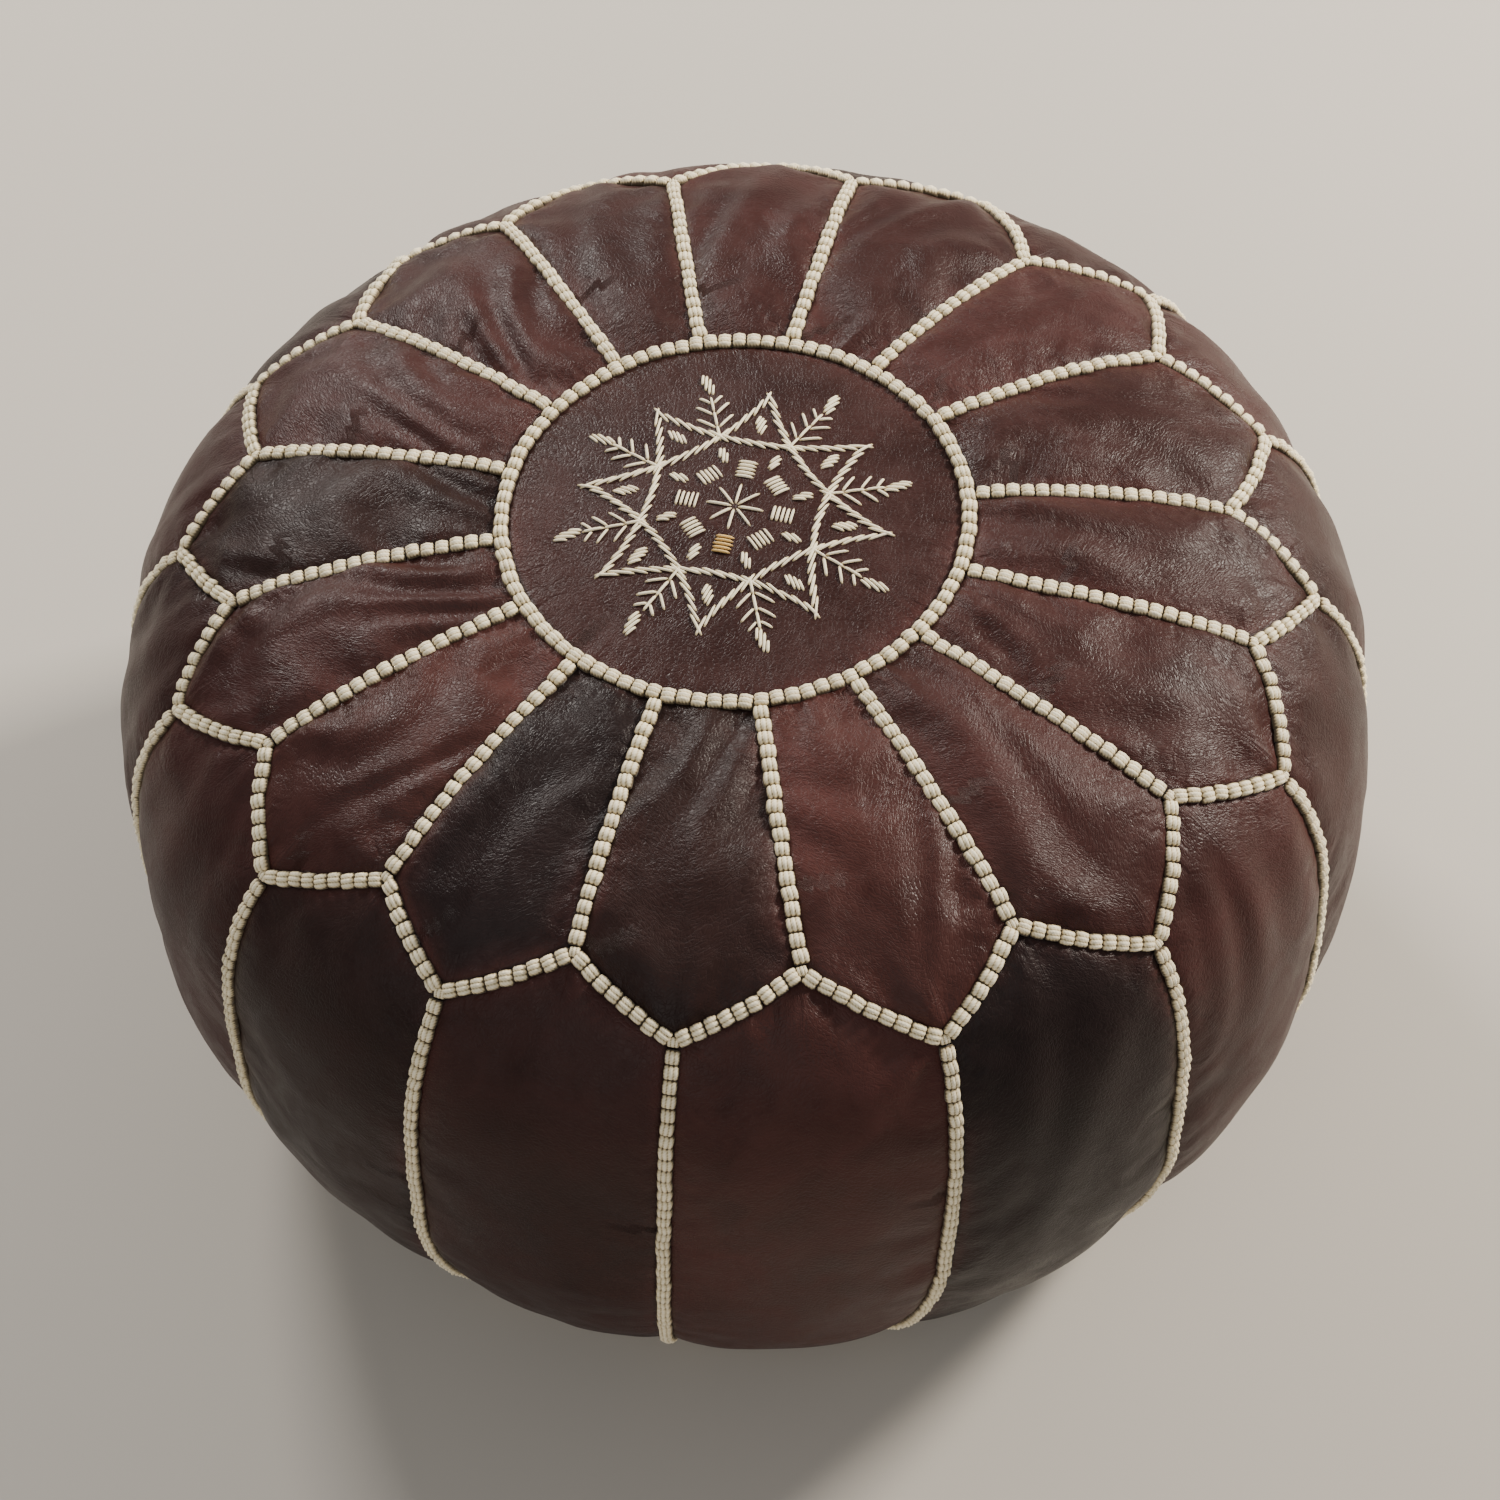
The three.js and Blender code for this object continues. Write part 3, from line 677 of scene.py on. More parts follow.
def polar(share, angle):
    radius = share * seamPlan["medallionRadius"] * mm
    return Vector((radius * math.cos(math.radians(angle)), radius * math.sin(math.radians(angle))))


def bowed(a, middle, b, share):
    bend = middle * 2 - (a + b) / 2
    return a * (1 - share) ** 2 + bend * 2 * share * (1 - share) + b * share ** 2


def slantedRun(a, middle, b, side, shorten=1.0):
    # overlapping slanted stitches from a to b
    length = (middle - a).length + (b - middle).length
    count = max(round(length / starWork["spacing"]), 2)
    made = []
    for k in range(count):
        share = (k + 0.5) / count
        centre = bowed(a, middle, b, share)
        before, after = (bowed(a, middle, b, s) for s in (share - 0.01, min(share + 0.01, 1)))
        ahead = (after - before).normalized()
        turn = Matrix.Rotation(math.radians(side * starWork["slant"] + random.gauss(0, 2)), 2)
        half = turn @ ahead * starWork["length"] * shorten * random.uniform(0.45, 0.53)
        made.append((centre - half, centre + half))
    return made


def bundle(centre, angle, count, pitch, length, lean=0, stagger=0.0):
    # strokes side by side across the direction at angle, leaning and staggered into a leaf
    out = polar(1, angle).normalized()
    side = Vector((-out.y, out.x))
    stroke = Matrix.Rotation(math.radians(lean), 2) @ out
    made = []
    for k in range(count):
        offset = k - (count - 1) / 2
        taper = 1 - 0.6 * stagger / pitch * abs(offset) / count
        middle = centre + (side * pitch + out * stagger) * offset
        half = stroke * length * taper * random.uniform(0.46, 0.52)
        made.append((middle - half, middle + half))
    return made


def starStitches():
    step = 360 / starWork["points"]
    light, tan = [], []
    for k in range(starWork["points"]):
        point = starWork["starAngle"] + k * step
        branch = starWork["branchAngle"] + k * step
        side = 1 if k % 2 else -1
        light += slantedRun(polar(starWork["starTip"], point), polar(starWork["starWaist"], point + step),
                            polar(starWork["starTip"], point + 2 * step), side)
        lean = starWork["leafLean"]
        light += bundle(polar(0.48, point), point, 4, 1.15 * mm, 9.5 * mm, lean, 1.7 * mm)
        light += bundle(polar(0.295, branch), branch, 3, 1.15 * mm, 9.0 * mm, lean, 1.7 * mm)
        square = bundle(polar(0.21, point), point + 90 * (k % 2), starWork["hatchStrokes"],
                        starWork["hatchPitch"], starWork["hatchSize"])
        (tan if k == 5 else light).extend(square)
        light += [(polar(0.01, point), polar(0.13, point))]
        light += [(polar(a, branch), polar(a + 0.1, branch)) for a in (0.38, 0.47, 0.56)]
        for share, length in ((0.46, 11), (0.54, 10), (0.61, 7)):
            root = polar(share, branch)
            for turn in (-48, 48):
                arm = Matrix.Rotation(math.radians(turn), 2) @ polar(1, branch).normalized()
                light.append((root + arm * 0.6 * mm, root + arm * length * mm))
        light += bundle(polar(0.71 + 0.012 * (k % 3), branch), branch, 4, 1.15 * mm, 11.5 * mm, lean,
                        2.2 * mm)
    return light, tan


def addEmbroidery(medallion, material):
    random.seed(23)
    surface = BVHTree.FromObject(medallion, bpy.context.evaluated_depsgraph_get())
    light, tan = starStitches()
    places = []
    for stitches, shades in ((light, (0.55, 1.0)), (tan, (0.0, 0.12))):
        for a, b in stitches:
            ends = []
            for flat in (a, b, (a + b) / 2):
                hit, normal, _, _ = surface.ray_cast(Vector((flat.x, flat.y, 1)), Vector((0, 0, -1)))
                ends.append((hit, normal))
            (start, _), (end, _), (middle, normal) = ends
            along = end - start
            ahead = along.normalized()
            side = normal.cross(ahead).normalized()
            up = ahead.cross(side)
            width = starWork["width"] * random.uniform(0.9, 1.1)
            centre = start.lerp(end, 0.5).lerp(middle, 0.5) + up * random.uniform(0.0, 0.35) * mm
            matrix = axesMatrix(ahead * along.length / 2, side * width, up * starWork["height"], centre)
            places.append((matrix, random.uniform(*shades)))
    piece = stampCopies("starEmbroidery", addThreadTemplate(), places, material)
    finishStitches(piece, "star_embroidery")
    return len(places)


baseCut = {
    "rows": 120,
    "columns": 40,
    "zipLength": 300,
    "zipOpening": 7.6,  # half-width between the leather edges
    "zipEndTaper": 8,
    "seamGap": 0.5,
    "endWidth": 2.5,
    "channelLift": 7.5,  # the base rises this far over the zip, which then clears the floor
    "channelFlat": 20,
    "channelEdge": 62,
    "channelOverrun": 24,
    "channelRamp": 16,
    "wrinkle": 0.7,
}


def smoothStep(value, low, high):
    t = min(max((value - low) / (high - low), 0), 1)
    return t * t * (3 - 2 * t)


def channelRise(x, y):
    across = smoothStep(baseCut["channelEdge"] - abs(x), 0,
                        baseCut["channelEdge"] - baseCut["channelFlat"])
    end = baseCut["zipLength"] / 2 + baseCut["channelOverrun"]
    return baseCut["channelLift"] * across * smoothStep(end - abs(y), 0, baseCut["channelRamp"])


def addBasePanel(side, material):
    name = "basePanelRight" if side > 0 else "basePanelLeft"
    panel = addGrid(name, baseCut["columns"], baseCut["rows"], 2)
    edge = profileAt(baseLevel)[0] - baseCut["seamGap"] / 2
    last = math.sqrt(edge ** 2 - baseCut["endWidth"] ** 2)
    floorRadius, widest, power = seamPlan["floorRadius"], seamPlan["widestRadius"], seamPlan["underPower"]
    openEnd = baseCut["zipLength"] / 2
    distances = []
    for v in panel.data.vertices:
        u, y = (v.co.x + 1) / 2, v.co.y * last
        taper = smoothStep(abs(y), openEnd, openEnd + baseCut["zipEndTaper"])
        inner = baseCut["zipOpening"] * (1 - taper) + baseCut["seamGap"] * taper
        outer = math.sqrt(edge ** 2 - y ** 2)
        x = inner + (outer - inner) * u
        rolled = max((math.hypot(x, y) - floorRadius) / (widest - floorRadius), 0)
        height = seamPlan["widestHeight"] * (1 - (1 - rolled ** power) ** (1 / power))
        rise = channelRise(x, y)
        fold = noise.noise(Vector((x / 16, y / 45, side * 3.0))) * baseCut["wrinkle"]
        free = min(rise / baseCut["channelLift"], 1 - rise / baseCut["channelLift"]) * 2
        away = min(outer - x, x - inner)
        distances.append(max(away, 0))
        v.co = Vector((side * x, y, height + rise + abs(fold) * free * 2)) * mm
    keepValues(panel.data, "seamDistance", distances)
    acrossCut, downCut = ([v.co[axis] / mm for v in panel.data.vertices] for axis in (0, 1))
    keepValues(panel.data, "seamRun", downCut)
    keepCut(panel, acrossCut, downCut)
    if side > 0:
        flipFaces(panel)  # the finished face looks down
    thicken(panel, leatherCut["thickness"])
    bpy.ops.object.shade_smooth()
    panel.data.materials.append(material)
    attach(panel, "pouf")
    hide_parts("base_panel_right" if side > 0 else "base_panel_left")


zipParts = {
    "coilPitch": 1.5 * mm,
    "coilReach": 3.6 * mm,  # from the zip's middle line to the back of a coil
    "coilOverlap": 0.45 * mm,  # the two coils lock past the middle line
    "coilHeight": 2.0 * mm,
    "coilWire": 0.51 * mm,
    "metalRounding": 0.22 * mm,
}


def cadCopy(node, name):
    # a clean copy of a CAD node: doubles merged and flat faces made whole
    piece = bpy.data.objects.new(name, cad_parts[node].data.copy())
    bpy.context.scene.collection.objects.link(piece)
    piece.data.name = name
    piece.data.materials.clear()
    editWhole(piece)
    bpy.ops.mesh.remove_doubles(threshold=0.001 * mm)
    bpy.ops.mesh.dissolve_limited(angle_limit=math.radians(1))
    bpy.ops.object.mode_set(mode="OBJECT")
    return piece


def roundEdges(piece, width):
    bevel = piece.modifiers.new("rounding", "BEVEL")
    bevel.width = width
    bevel.segments = 2
    bevel.limit_method = "ANGLE"
    bevel.angle_limit = math.radians(40)
    applyModifier(piece, "rounding")
    bpy.ops.object.shade_smooth_by_angle(angle=math.radians(35))


def addZipMetal(material):
    for node, name in (("zip_slider", "zipSlider"), ("zip_pull_tab", "zipPullTab")):
        piece = cadCopy(node, name)
        roundEdges(piece, zipParts["metalRounding"])
        piece.data.materials.append(material)
        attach(piece, "zip_slider" if node == "zip_slider" else "zip_pull")
        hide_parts(node)


def addCoilTemplate():
    # one turn of the nylon coil, from -1 at the tape to 1 at the lock, where it is thicker
    turn = addCapsule(8, 6)
    for v in turn.data.vertices:
        full = (1 - min(abs(v.co.x), 1) ** 4) ** 0.5 / math.sqrt(max(1 - v.co.x ** 2, 1e-6))
        v.co.y *= full * (1 + 0.25 * max(v.co.x, 0) ** 2)
        v.co.z *= full
    points, faces = meshArrays(turn)
    bpy.data.objects.remove(turn)
    return points, faces, [0.2] * len(points), points[:, :2]


def addZipTapes(tapeFinish, coilFinish):
    template = addCoilTemplate()
    for side, node, name in ((-1, "zip_tape_left", "zipTapeLeft"), (1, "zip_tape_right", "zipTapeRight")):
        low, high = (Vector(corner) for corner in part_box(node))
        tapeLow = low.z + zipParts["coilHeight"]
        inner = min(abs(low.x), abs(high.x))
        outer = max(abs(low.x), abs(high.x))
        tape = addGrid(name, 10, 150, 1)
        for v in tape.data.vertices:
            x = side * (inner + (outer - inner) * (v.co.x + 0.5))
            v.co = Vector((x, low.y + (high.y - low.y) * (v.co.y + 0.5), tapeLow))
        if side > 0:
            flipFaces(tape)  # the finished face looks down
        thicken(tape, high.z - tapeLow)
        tape.data.materials.append(tapeFinish)
        half = baseCut["zipLength"] / 2 * mm
        count = int(2 * half / zipParts["coilPitch"])
        reach = (zipParts["coilReach"] + zipParts["coilOverlap"]) / 2
        middle = (zipParts["coilReach"] - zipParts["coilOverlap"]) / 2
        places = []
        for k in range(count):
            y = -half + (k + (0.25 if side > 0 else 0.75)) * zipParts["coilPitch"]
            origin = Vector((side * middle, y, low.z + zipParts["coilHeight"] / 2))
            across = (-side * reach, 0, 0)
            along = (0, -side * zipParts["coilWire"], 0)
            height = (0, 0, zipParts["coilHeight"] / 2)
            places.append((axesMatrix(across, along, height, origin), 0.8))
        coil = stampCopies(name + "Coil", template, places, coilFinish)
        makeActive(tape)
        coil.select_set(True)
        bpy.ops.object.join()
        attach(tape, "pouf")
        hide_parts(node)


def linear(hexColor):
    channels = [int(hexColor[k:k + 2], 16) / 255 for k in (1, 3, 5)]
    return [c / 12.92 if c <= 0.04045 else ((c + 0.055) / 1.055) ** 2.4 for c in channels] + [1]


def newMaterial(name):
    material = bpy.data.materials.new(name)
    material.use_nodes = True
    material.node_tree.nodes.clear()
    return material


def addNode(material, kind, settings=(), **links):
    # settings holds node properties and socket values, links the sockets fed by other nodes
    node = material.node_tree.nodes.new(kind)
    for key, value in dict(settings).items():
        if isinstance(key, str) and hasattr(node, key):
            setattr(node, key, value)
        else:
            node.inputs[key].default_value = value
    for key, source in links.items():
        byIndex = key[0] == "i" and key[1:].isdigit()
        socket = node.inputs[int(key[1:]) if byIndex else key.replace("_", " ")]
        material.node_tree.links.new(source, socket)
    return node


def rampNode(material, factor, stops):
    ramp = addNode(material, "ShaderNodeValToRGB")
    material.node_tree.links.new(factor, ramp.inputs["Fac"])
    elements = ramp.color_ramp.elements
    while len(elements) < len(stops):
        elements.new(0.5)
    for element, (position, color) in zip(elements, stops):
        element.position = position
        element.color = color if len(color) == 4 else (*color, 1)
    return ramp


def grey(value):
    return (value, value, value, 1)


def leatherMaterial(name, tone, seed):
    # drum-dyed goat hide, waxed by hand: mottled colour, fine crackled grain, broken soft sheen
    m = newMaterial(name)
    links = m.node_tree.links
    coords = addNode(m, "ShaderNodeTexCoord")
    place = addNode(m, "ShaderNodeMapping", {"Location": (seed * 0.37, seed * 0.21, seed * 0.13)},
                    Vector=coords.outputs["Object"])
    at = place.outputs["Vector"]
    cloud = addNode(m, "ShaderNodeTexNoise", {"Scale": 1 / (85 * mm), "Detail": 4.0, "Roughness": 0.55},
                    Vector=at)
    mottle = addNode(m, "ShaderNodeTexNoise",
                     {"Scale": 1 / (20 * mm), "Detail": 6.0, "Roughness": 0.62, "Distortion": 0.8},
                     Vector=at)
    half = addNode(m, "ShaderNodeMath", {"operation": "MULTIPLY", 1: 0.4}, i0=mottle.outputs["Fac"])
    blend = addNode(m, "ShaderNodeMath", {"operation": "MULTIPLY_ADD", 1: 0.6}, i0=cloud.outputs["Fac"],
                    i2=half.outputs[0])
    base = linear(tone)
    dark = [c * 0.68 for c in base[:3]] + [1]
    light = [base[0] * 1.34, base[1] * 1.3, base[2] * 1.34, 1]
    dyed = rampNode(m, blend.outputs[0], [(0.36, dark), (0.5, base), (0.66, light)])
    distance = addNode(m, "ShaderNodeAttribute", {"attribute_name": "seamDistance"})
    run = addNode(m, "ShaderNodeAttribute", {"attribute_name": "seamRun"})
    share = addNode(m, "ShaderNodeMath", {"operation": "DIVIDE", 1: 40.0}, i0=distance.outputs["Fac"])
    # wax and dye rub off the leather raised beside a seam; within about 4 mm of a seam, under and beside
    # the braid, the leather is darkened by painted shade and by dirt
    rim = rampNode(m, share.outputs[0],
                   [(0.07, grey(0)), (0.13, grey(1)), (0.22, grey(0.35)), (0.4, grey(0))])
    patchy = rampNode(m, cloud.outputs["Fac"], [(0.46, grey(0)), (0.6, grey(0.75))])
    worn = addNode(m, "ShaderNodeMath", {"operation": "MULTIPLY"}, i0=rim.outputs["Color"],
                   i1=patchy.outputs["Color"])
    rubbed = addNode(m, "ShaderNodeMix", {"data_type": "RGBA", 7: linear("#482926")})
    links.new(worn.outputs[0], rubbed.inputs[0])
    links.new(dyed.outputs["Color"], rubbed.inputs[6])
    # painted shade and dirt: darker within about 4 mm of a seam
    fold = rampNode(m, share.outputs[0], [(0.05, grey(0.35)), (0.11, grey(0.95)), (0.3, grey(1.0))])
    color = addNode(m, "ShaderNodeMix", {"data_type": "RGBA", "blend_type": "MULTIPLY", "Factor": 1.0})
    links.new(rubbed.outputs[2], color.inputs[6])
    links.new(fold.outputs["Color"], color.inputs[7])
    # hide grain is finer than this; its cells are drawn 1.6 mm wide so that they show
    across = addNode(m, "ShaderNodeAttribute", {"attribute_name": "acrossCut"})
    down = addNode(m, "ShaderNodeAttribute", {"attribute_name": "downCut"})
    cut = addNode(m, "ShaderNodeCombineXYZ", {"Z": seed * 9.0}, X=across.outputs["Fac"],
                  Y=down.outputs["Fac"])
    bent = addNode(m, "ShaderNodeTexNoise", {"Scale": 1 / 14, "Detail": 3.0}, Vector=cut.outputs[0])
    flow = addNode(m, "ShaderNodeVectorMath", {"operation": "MULTIPLY_ADD", 1: (9, 9, 0)},
                   i0=bent.outputs["Color"], i2=cut.outputs[0])
    cells = addNode(m, "ShaderNodeTexVoronoi", {"feature": "DISTANCE_TO_EDGE", "Scale": 1 / 1.6},
                    Vector=flow.outputs[0])
    crackle = rampNode(m, cells.outputs["Distance"], [(0.0, grey(0)), (0.2, grey(1))])
    # fine creases lie across each panel, 1 mm apart and a few millimetres long
    lie = addNode(m, "ShaderNodeMapping", {"Scale": (1 / 3.2, 1 / 1.4, 1)}, Vector=flow.outputs[0])
    creases = addNode(m, "ShaderNodeTexNoise", {"Scale": 1.0, "Detail": 4.0, "Roughness": 0.6},
                      Vector=lie.outputs[0])
    creased = rampNode(m, creases.outputs["Fac"], [(0.36, grey(0)), (0.5, grey(0.8)), (0.62, grey(1))])
    slack = rampNode(m, cloud.outputs["Fac"], [(0.42, grey(0.25)), (0.58, grey(1))])
    crumpled = addNode(m, "ShaderNodeMath", {"operation": "MULTIPLY"}, i0=creased.outputs["Color"],
                       i1=slack.outputs["Color"])
    fine = addNode(m, "ShaderNodeMath", {"operation": "MULTIPLY_ADD", 1: 0.7},
                   i0=crackle.outputs["Color"], i2=crumpled.outputs[0])
    grain = addNode(m, "ShaderNodeBump", {"Strength": 0.4, "Distance": 0.36 * mm}, Height=fine.outputs[0])
    # puckers run from the seam into the panel
    runShare = addNode(m, "ShaderNodeMath", {"operation": "DIVIDE", 1: 7.0}, i0=run.outputs["Fac"])
    pull = addNode(m, "ShaderNodeCombineXYZ", X=runShare.outputs[0], Y=share.outputs[0])
    pucker = addNode(m, "ShaderNodeTexNoise",
                     {"Scale": 1.0, "Detail": 3.0, "Roughness": 0.5, "Distortion": 0.3},
                     Vector=pull.outputs[0])
    reach = rampNode(m, share.outputs[0], [(0.02, grey(1)), (0.25, grey(0.55)), (0.62, grey(0))])
    puckered = addNode(m, "ShaderNodeMath", {"operation": "MULTIPLY"}, i0=pucker.outputs["Fac"],
                       i1=reach.outputs["Color"])
    gathered = addNode(m, "ShaderNodeBump", {"Strength": 0.6, "Distance": 3 * mm},
                       Height=puckered.outputs[0], Normal=grain.outputs["Normal"])
    gloss = rampNode(m, mottle.outputs["Fac"], [(0.3, grey(0.32)), (0.7, grey(0.49))])
    shader = addNode(m, "ShaderNodeBsdfPrincipled", {"IOR": 1.46, "Specular IOR Level": 0.19},
                     Base_Color=color.outputs[2], Roughness=gloss.outputs["Color"],
                     Normal=gathered.outputs["Normal"])
    addNode(m, "ShaderNodeOutputMaterial", Surface=shader.outputs["BSDF"])
    return m


def threadMaterial(name, shadow, mid, light, tan):
    # waxed cotton thread, loosely twisted: matt, with painted light on the crown of each strand and
    # painted shade in its grooves and at its ends
    m = newMaterial(name)
    links = m.node_tree.links
    # the painted shade kept on the stitch meshes
    paintedShade = addNode(m, "ShaderNodeAttribute", {"attribute_name": "paintedShade"})
    shade = addNode(m, "ShaderNodeAttribute", {"attribute_name": "shade"})
    coords = addNode(m, "ShaderNodeTexCoord")
    # one twist of the ply is 1.1 mm along the thread
    twist = addNode(m, "ShaderNodeMapping", {"Scale": (1 / 1.1, 1 / 1.6, 1)}, Vector=coords.outputs["UV"])
    ply = addNode(m, "ShaderNodeTexWave",
                  {"wave_type": "BANDS", "bands_direction": "DIAGONAL", "Scale": 0.5, "Distortion": 1.5,
                   "Detail": 2.0, "Detail Scale": 2.0}, Vector=twist.outputs["Vector"])
    fuzz = addNode(m, "ShaderNodeTexNoise", {"Scale": 1 / (1.2 * mm), "Detail": 3.0},
                   Vector=coords.outputs["Object"])
    # how deep in painted shade a point lies: the mesh's painted shade, the ply's bands and some fuzz
    lines = addNode(m, "ShaderNodeMath", {"operation": "MULTIPLY_ADD", 1: 0.16}, i0=ply.outputs["Fac"],
                    i2=paintedShade.outputs["Fac"])
    depth = addNode(m, "ShaderNodeMath", {"operation": "MULTIPLY_ADD", 1: 0.25}, i0=fuzz.outputs["Fac"],
                    i2=lines.outputs[0])
    # painted light on the crowns, the thread's own colour between, painted shade in the grooves
    tone = rampNode(m, depth.outputs[0],
                    [(0.38, linear(light)), (0.7, linear(mid)), (0.98, linear(shadow))])
    warm = rampNode(m, shade.outputs["Fac"],
                    [(0.0, linear(tan)), (0.2, linear(tan)), (0.3, grey(0.88)), (1.0, grey(1.0))])
    color = addNode(m, "ShaderNodeMix", {"data_type": "RGBA", "blend_type": "MULTIPLY", "Factor": 1.0})
    links.new(tone.outputs["Color"], color.inputs[6])
    links.new(warm.outputs["Color"], color.inputs[7])
    bump = addNode(m, "ShaderNodeBump", {"Strength": 0.4, "Distance": 0.35 * mm}, Height=lines.outputs[0])
    shader = addNode(m, "ShaderNodeBsdfPrincipled", {"Roughness": 0.7, "Sheen Weight": 0.1},
                     Base_Color=color.outputs[2], Normal=bump.outputs["Normal"])
    addNode(m, "ShaderNodeOutputMaterial", Surface=shader.outputs["BSDF"])
    return m


def tapeMaterial(name):
    # woven polyester zip tape: fine herringbone, matt
    m = newMaterial(name)
    coords = addNode(m, "ShaderNodeTexCoord")
    # the real weave is 0.4 mm; it is drawn at 0.8 mm so that it shows
    rib = addNode(m, "ShaderNodeTexWave",
                  {"wave_type": "BANDS", "bands_direction": "DIAGONAL", "Scale": 0.159 / (0.4 * mm),
                   "Distortion": 0.6, "Detail": 1.0}, Vector=coords.outputs["Object"])
    wear = addNode(m, "ShaderNodeTexNoise", {"Scale": 1 / (9 * mm), "Detail": 4.0},
                   Vector=coords.outputs["Object"])
    tone = rampNode(m, wear.outputs["Fac"], [(0.3, linear("#241b19")), (0.7, linear("#3b2d29"))])
    bump = addNode(m, "ShaderNodeBump", {"Strength": 0.5, "Distance": 0.2 * mm},
                   Height=rib.outputs["Fac"])
    shader = addNode(m, "ShaderNodeBsdfPrincipled", {"Roughness": 0.82, "Sheen Weight": 0.1},
                     Base_Color=tone.outputs["Color"], Normal=bump.outputs["Normal"])
    addNode(m, "ShaderNodeOutputMaterial", Surface=shader.outputs["BSDF"])
    return m


def coilMaterial(name):
    # moulded nylon monofilament: dark, half gloss, rubbed paler where the slider runs
    m = newMaterial(name)
    coords = addNode(m, "ShaderNodeTexCoord")
    wear = addNode(m, "ShaderNodeTexNoise", {"Scale": 1 / (5 * mm), "Detail": 3.0},
                   Vector=coords.outputs["Object"])
    tone = rampNode(m, wear.outputs["Fac"], [(0.35, linear("#2b201d")), (0.7, linear("#4d3c36"))])
    gloss = rampNode(m, wear.outputs["Fac"], [(0.3, grey(0.34)), (0.7, grey(0.5))])
    shader = addNode(m, "ShaderNodeBsdfPrincipled", {"IOR": 1.53}, Base_Color=tone.outputs["Color"],
                     Roughness=gloss.outputs["Color"])
    addNode(m, "ShaderNodeOutputMaterial", Surface=shader.outputs["BSDF"])
    return m


def brassMaterial(name):
    # die-cast antique brass: darker in random stains, brushed bright by the hand
    m = newMaterial(name)
    coords = addNode(m, "ShaderNodeTexCoord")
    stain = addNode(m, "ShaderNodeTexNoise", {"Scale": 1 / (3 * mm), "Detail": 6.0, "Roughness": 0.6},
                    Vector=coords.outputs["Object"])
    stretch = addNode(m, "ShaderNodeMapping", {"Scale": (1 / (0.3 * mm), 1 / (5 * mm), 1 / (0.3 * mm))},
                      Vector=coords.outputs["Object"])
    brushed = addNode(m, "ShaderNodeTexNoise", {"Scale": 1.0, "Detail": 2.0},
                      Vector=stretch.outputs["Vector"])
    tone = rampNode(m, stain.outputs["Fac"],
                    [(0.3, linear("#6b4e28")), (0.55, linear("#a37c41")), (0.75, linear("#c39a58"))])
    gloss = rampNode(m, stain.outputs["Fac"], [(0.3, grey(0.48)), (0.7, grey(0.28))])
    bump = addNode(m, "ShaderNodeBump", {"Strength": 0.15, "Distance": 0.05 * mm},
                   Height=brushed.outputs["Fac"])
    shader = addNode(m, "ShaderNodeBsdfPrincipled", {"Metallic": 1.0}, Base_Color=tone.outputs["Color"],
                     Roughness=gloss.outputs["Color"], Normal=bump.outputs["Normal"])
    addNode(m, "ShaderNodeOutputMaterial", Surface=shader.outputs["BSDF"])
    return m


def waddingMaterial(name):
    # needled cotton wadding round the filling: soft, uneven, no gloss
    m = newMaterial(name)
    coords = addNode(m, "ShaderNodeTexCoord")
    tuft = addNode(m, "ShaderNodeTexNoise", {"Scale": 1 / (8 * mm), "Detail": 8.0, "Roughness": 0.7},
                   Vector=coords.outputs["Object"])
    tone = rampNode(m, tuft.outputs["Fac"], [(0.3, linear("#cfc8ba")), (0.7, linear("#ece7dc"))])
    bump = addNode(m, "ShaderNodeBump", {"Strength": 0.6, "Distance": 1.5 * mm},
                   Height=tuft.outputs["Fac"])
    shader = addNode(m, "ShaderNodeBsdfPrincipled", {"Roughness": 0.95, "Sheen Weight": 0.2},
                     Base_Color=tone.outputs["Color"], Normal=bump.outputs["Normal"])
    addNode(m, "ShaderNodeOutputMaterial", Surface=shader.outputs["BSDF"])
    return m


def addStage():
    bpy.ops.mesh.primitive_plane_add(size=8)
    floor = bpy.context.object
    floor.name = "studioFloor"
    m = newMaterial("paleStudioFloor")
    shader = addNode(m, "ShaderNodeBsdfPrincipled", {"Base Color": linear("#bfb9af"), "Roughness": 0.9})
    addNode(m, "ShaderNodeOutputMaterial", Surface=shader.outputs["BSDF"])
    floor.data.materials.append(m)


def addLamp(name, place, target, size, power, color):
    bpy.ops.object.light_add(type="AREA", location=place)
    lamp = bpy.context.object
    lamp.name = name
    lamp.data.size = size
    lamp.data.energy = power
    lamp.data.color = color
    lamp.rotation_euler = (Vector(target) - Vector(place)).to_track_quat("-Z", "Y").to_euler()


def addLights():
    middle = (0, 0, 0.2)
    addLamp("windowLight", (2.0, 0.9, 1.5), middle, 0.42, 122, (1.0, 0.92, 0.82))
    addLamp("backSky", (-1.0, 2.0, 1.75), middle, 0.6, 66, (1.0, 0.95, 0.9))
    addLamp("roomFill", (-0.8, -2.0, 2.0), middle, 2.2, 20, (1.0, 0.95, 0.9))
    world = bpy.data.worlds.new("studioAir")
    bpy.context.scene.world = world
    world.use_nodes = True
    world.node_tree.nodes["Background"].inputs["Color"].default_value = (0.85, 0.87, 0.9, 1)
    world.node_tree.nodes["Background"].inputs["Strength"].default_value = 0.36


cameraView = {
    "elevation": 53.9,
    "turn": 0.0,
    "roll": -2.9,
    "distance": 1.557,
    "aimHeight": 0.160,
    "sensor": 36,
    "lens": 82.46,
    "shift": 0.002,
}


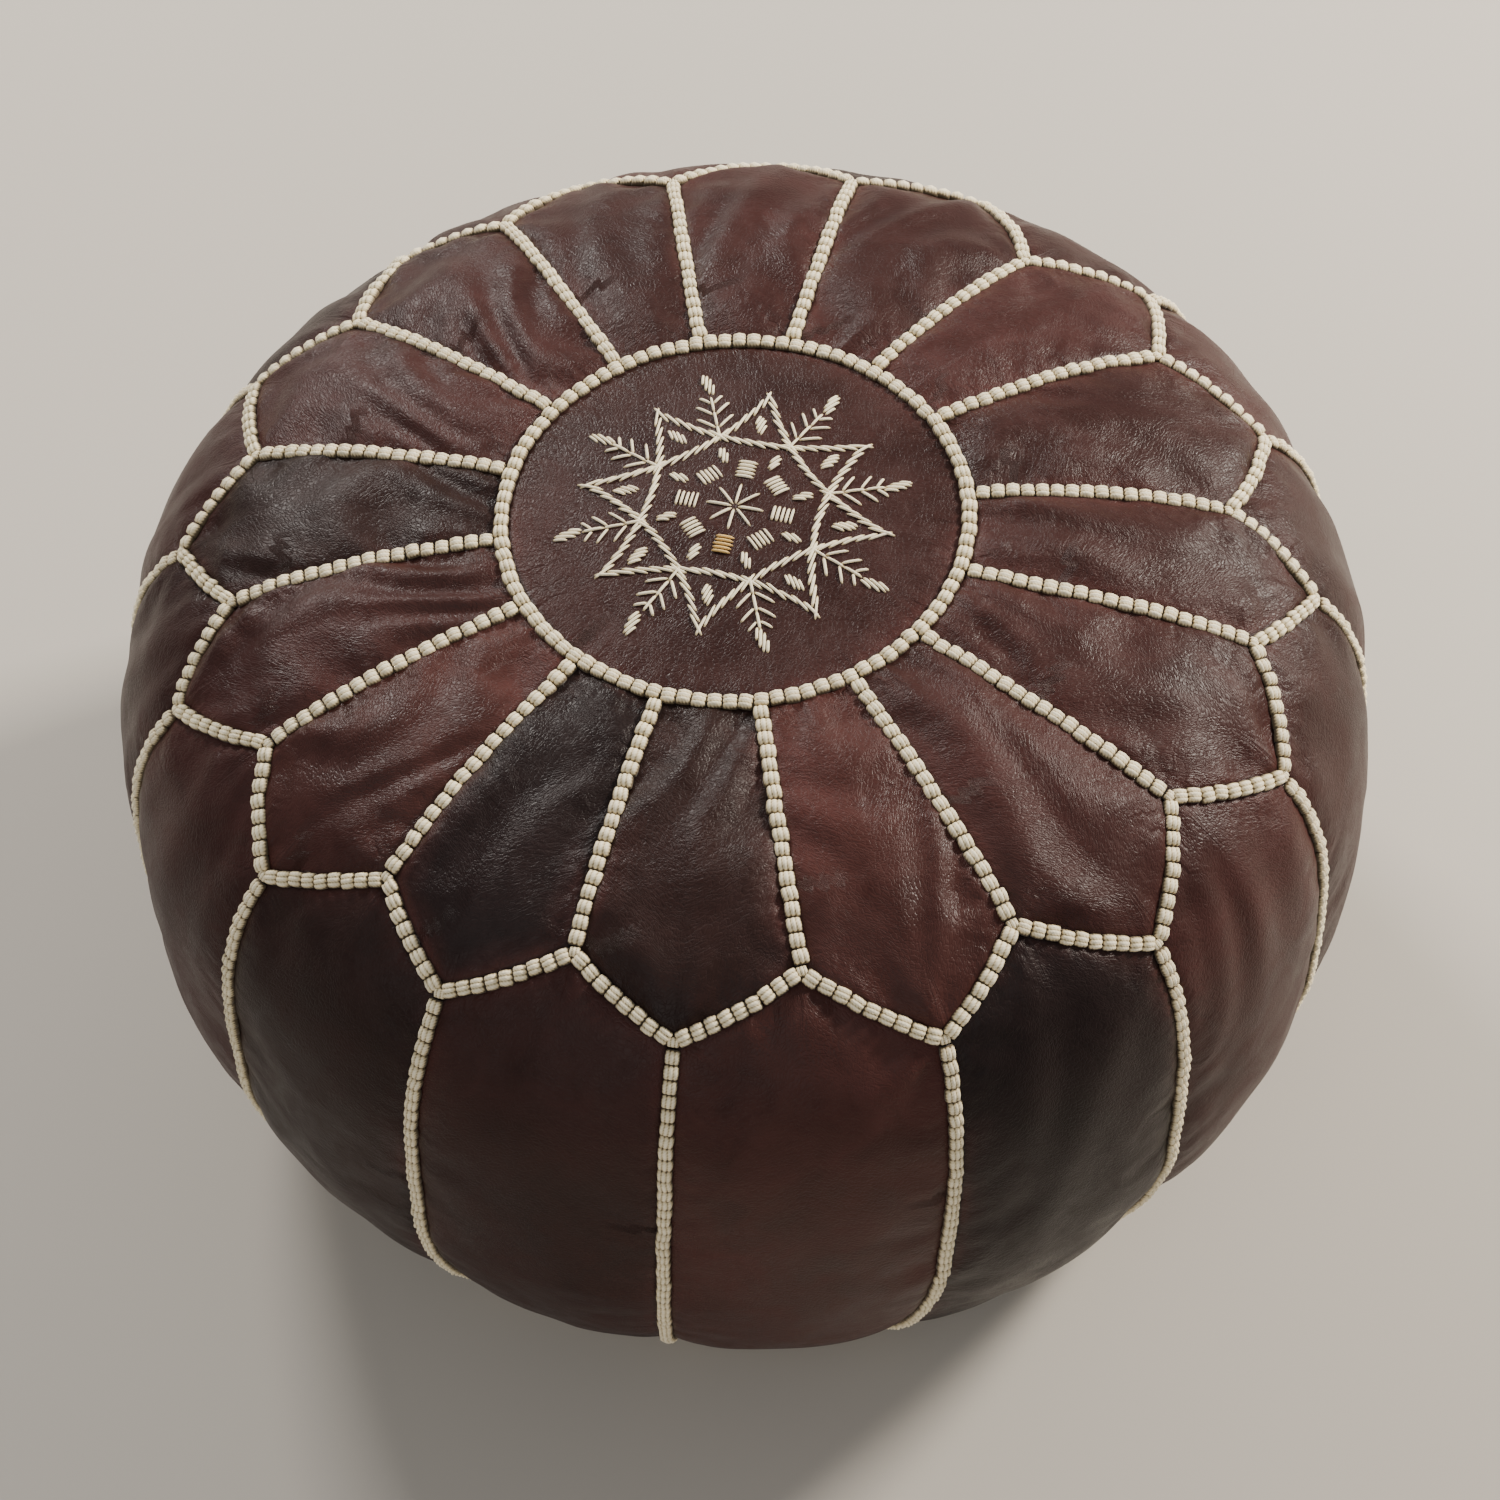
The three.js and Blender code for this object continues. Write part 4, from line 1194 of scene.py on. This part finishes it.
def addCamera():
    data = bpy.data.cameras.new("viewCamera")
    camera = bpy.data.objects.new("viewCamera", data)
    bpy.context.scene.collection.objects.link(camera)
    bpy.context.scene.camera = camera
    data.sensor_width = cameraView["sensor"]
    data.lens = cameraView["lens"]
    data.clip_start = 0.05
    data.shift_x = cameraView["shift"]
    e, a = math.radians(cameraView["elevation"]), math.radians(cameraView["turn"])
    back = Vector((math.sin(a) * math.cos(e), -math.cos(a) * math.cos(e), math.sin(e)))
    camera.location = Vector((0, 0, cameraView["aimHeight"])) + back * cameraView["distance"]
    aim = (-back).to_track_quat("-Z", "Y").to_matrix().to_4x4()
    roll = Matrix.Rotation(math.radians(cameraView["roll"]), 4, "Z")
    camera.matrix_world = Matrix.Translation(camera.location) @ aim @ roll


# five dye lots, and the lot each panel was cut from
dyeLots = {
    "tones": ["#201514", "#291916", "#331d1a", "#3a211e", "#432622"],
    "petals": [2, 3, 2, 3, 2, 3, 3, 1, 3, 4, 0, 1, 4, 3, 3, 2],
    "sides": [2, 3, 2, 1, 3, 2, 1, 3, 2, 3, 1, 2, 4, 0, 3, 2],
    "medallion": 2,
}
tones = list(enumerate(dyeLots["tones"]))
leathers = [leatherMaterial(f"goatLeatherDyeLot{k + 1}", tone, k) for k, tone in tones]
# colours: painted shade, the thread's own cream, painted light, and the tan thread
threadFinish = threadMaterial("waxedCottonThread", "#5f5037", "#e4d2a6", "#fff3d4", "#dcc08a")

made = addLeatherPanels()
print("leather panels cut:", len(made))
shapePanels(made)
print("leather panels shaped")
finishPanel(made["top_medallion"], "top_medallion", leathers[dyeLots["medallion"]])
for i in range(petals):
    number = f"{i + 1:02d}"
    finishPanel(made["petal_" + number], "petal_" + number, leathers[dyeLots["petals"][i]])
    finishPanel(made["side_panel_" + number], "side_panel_" + number, leathers[dyeLots["sides"][i]])
print("leather panels finished")
addBraids(threadFinish)
print("braids sewn")
print("stitches embroidered:", addEmbroidery(made["top_medallion"], threadFinish))
addBasePanel(-1, leathers[1])
addBasePanel(1, leathers[2])
addZipTapes(tapeMaterial("wovenPolyesterTape"), coilMaterial("nylonCoil"))
addZipMetal(brassMaterial("antiqueBrass"))
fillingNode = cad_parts["filling"]
fillingNode.data.materials.clear()
fillingNode.data.materials.append(waddingMaterial("cottonWadding"))
print("base and zip made")

addStage()
addLights()
addCamera()
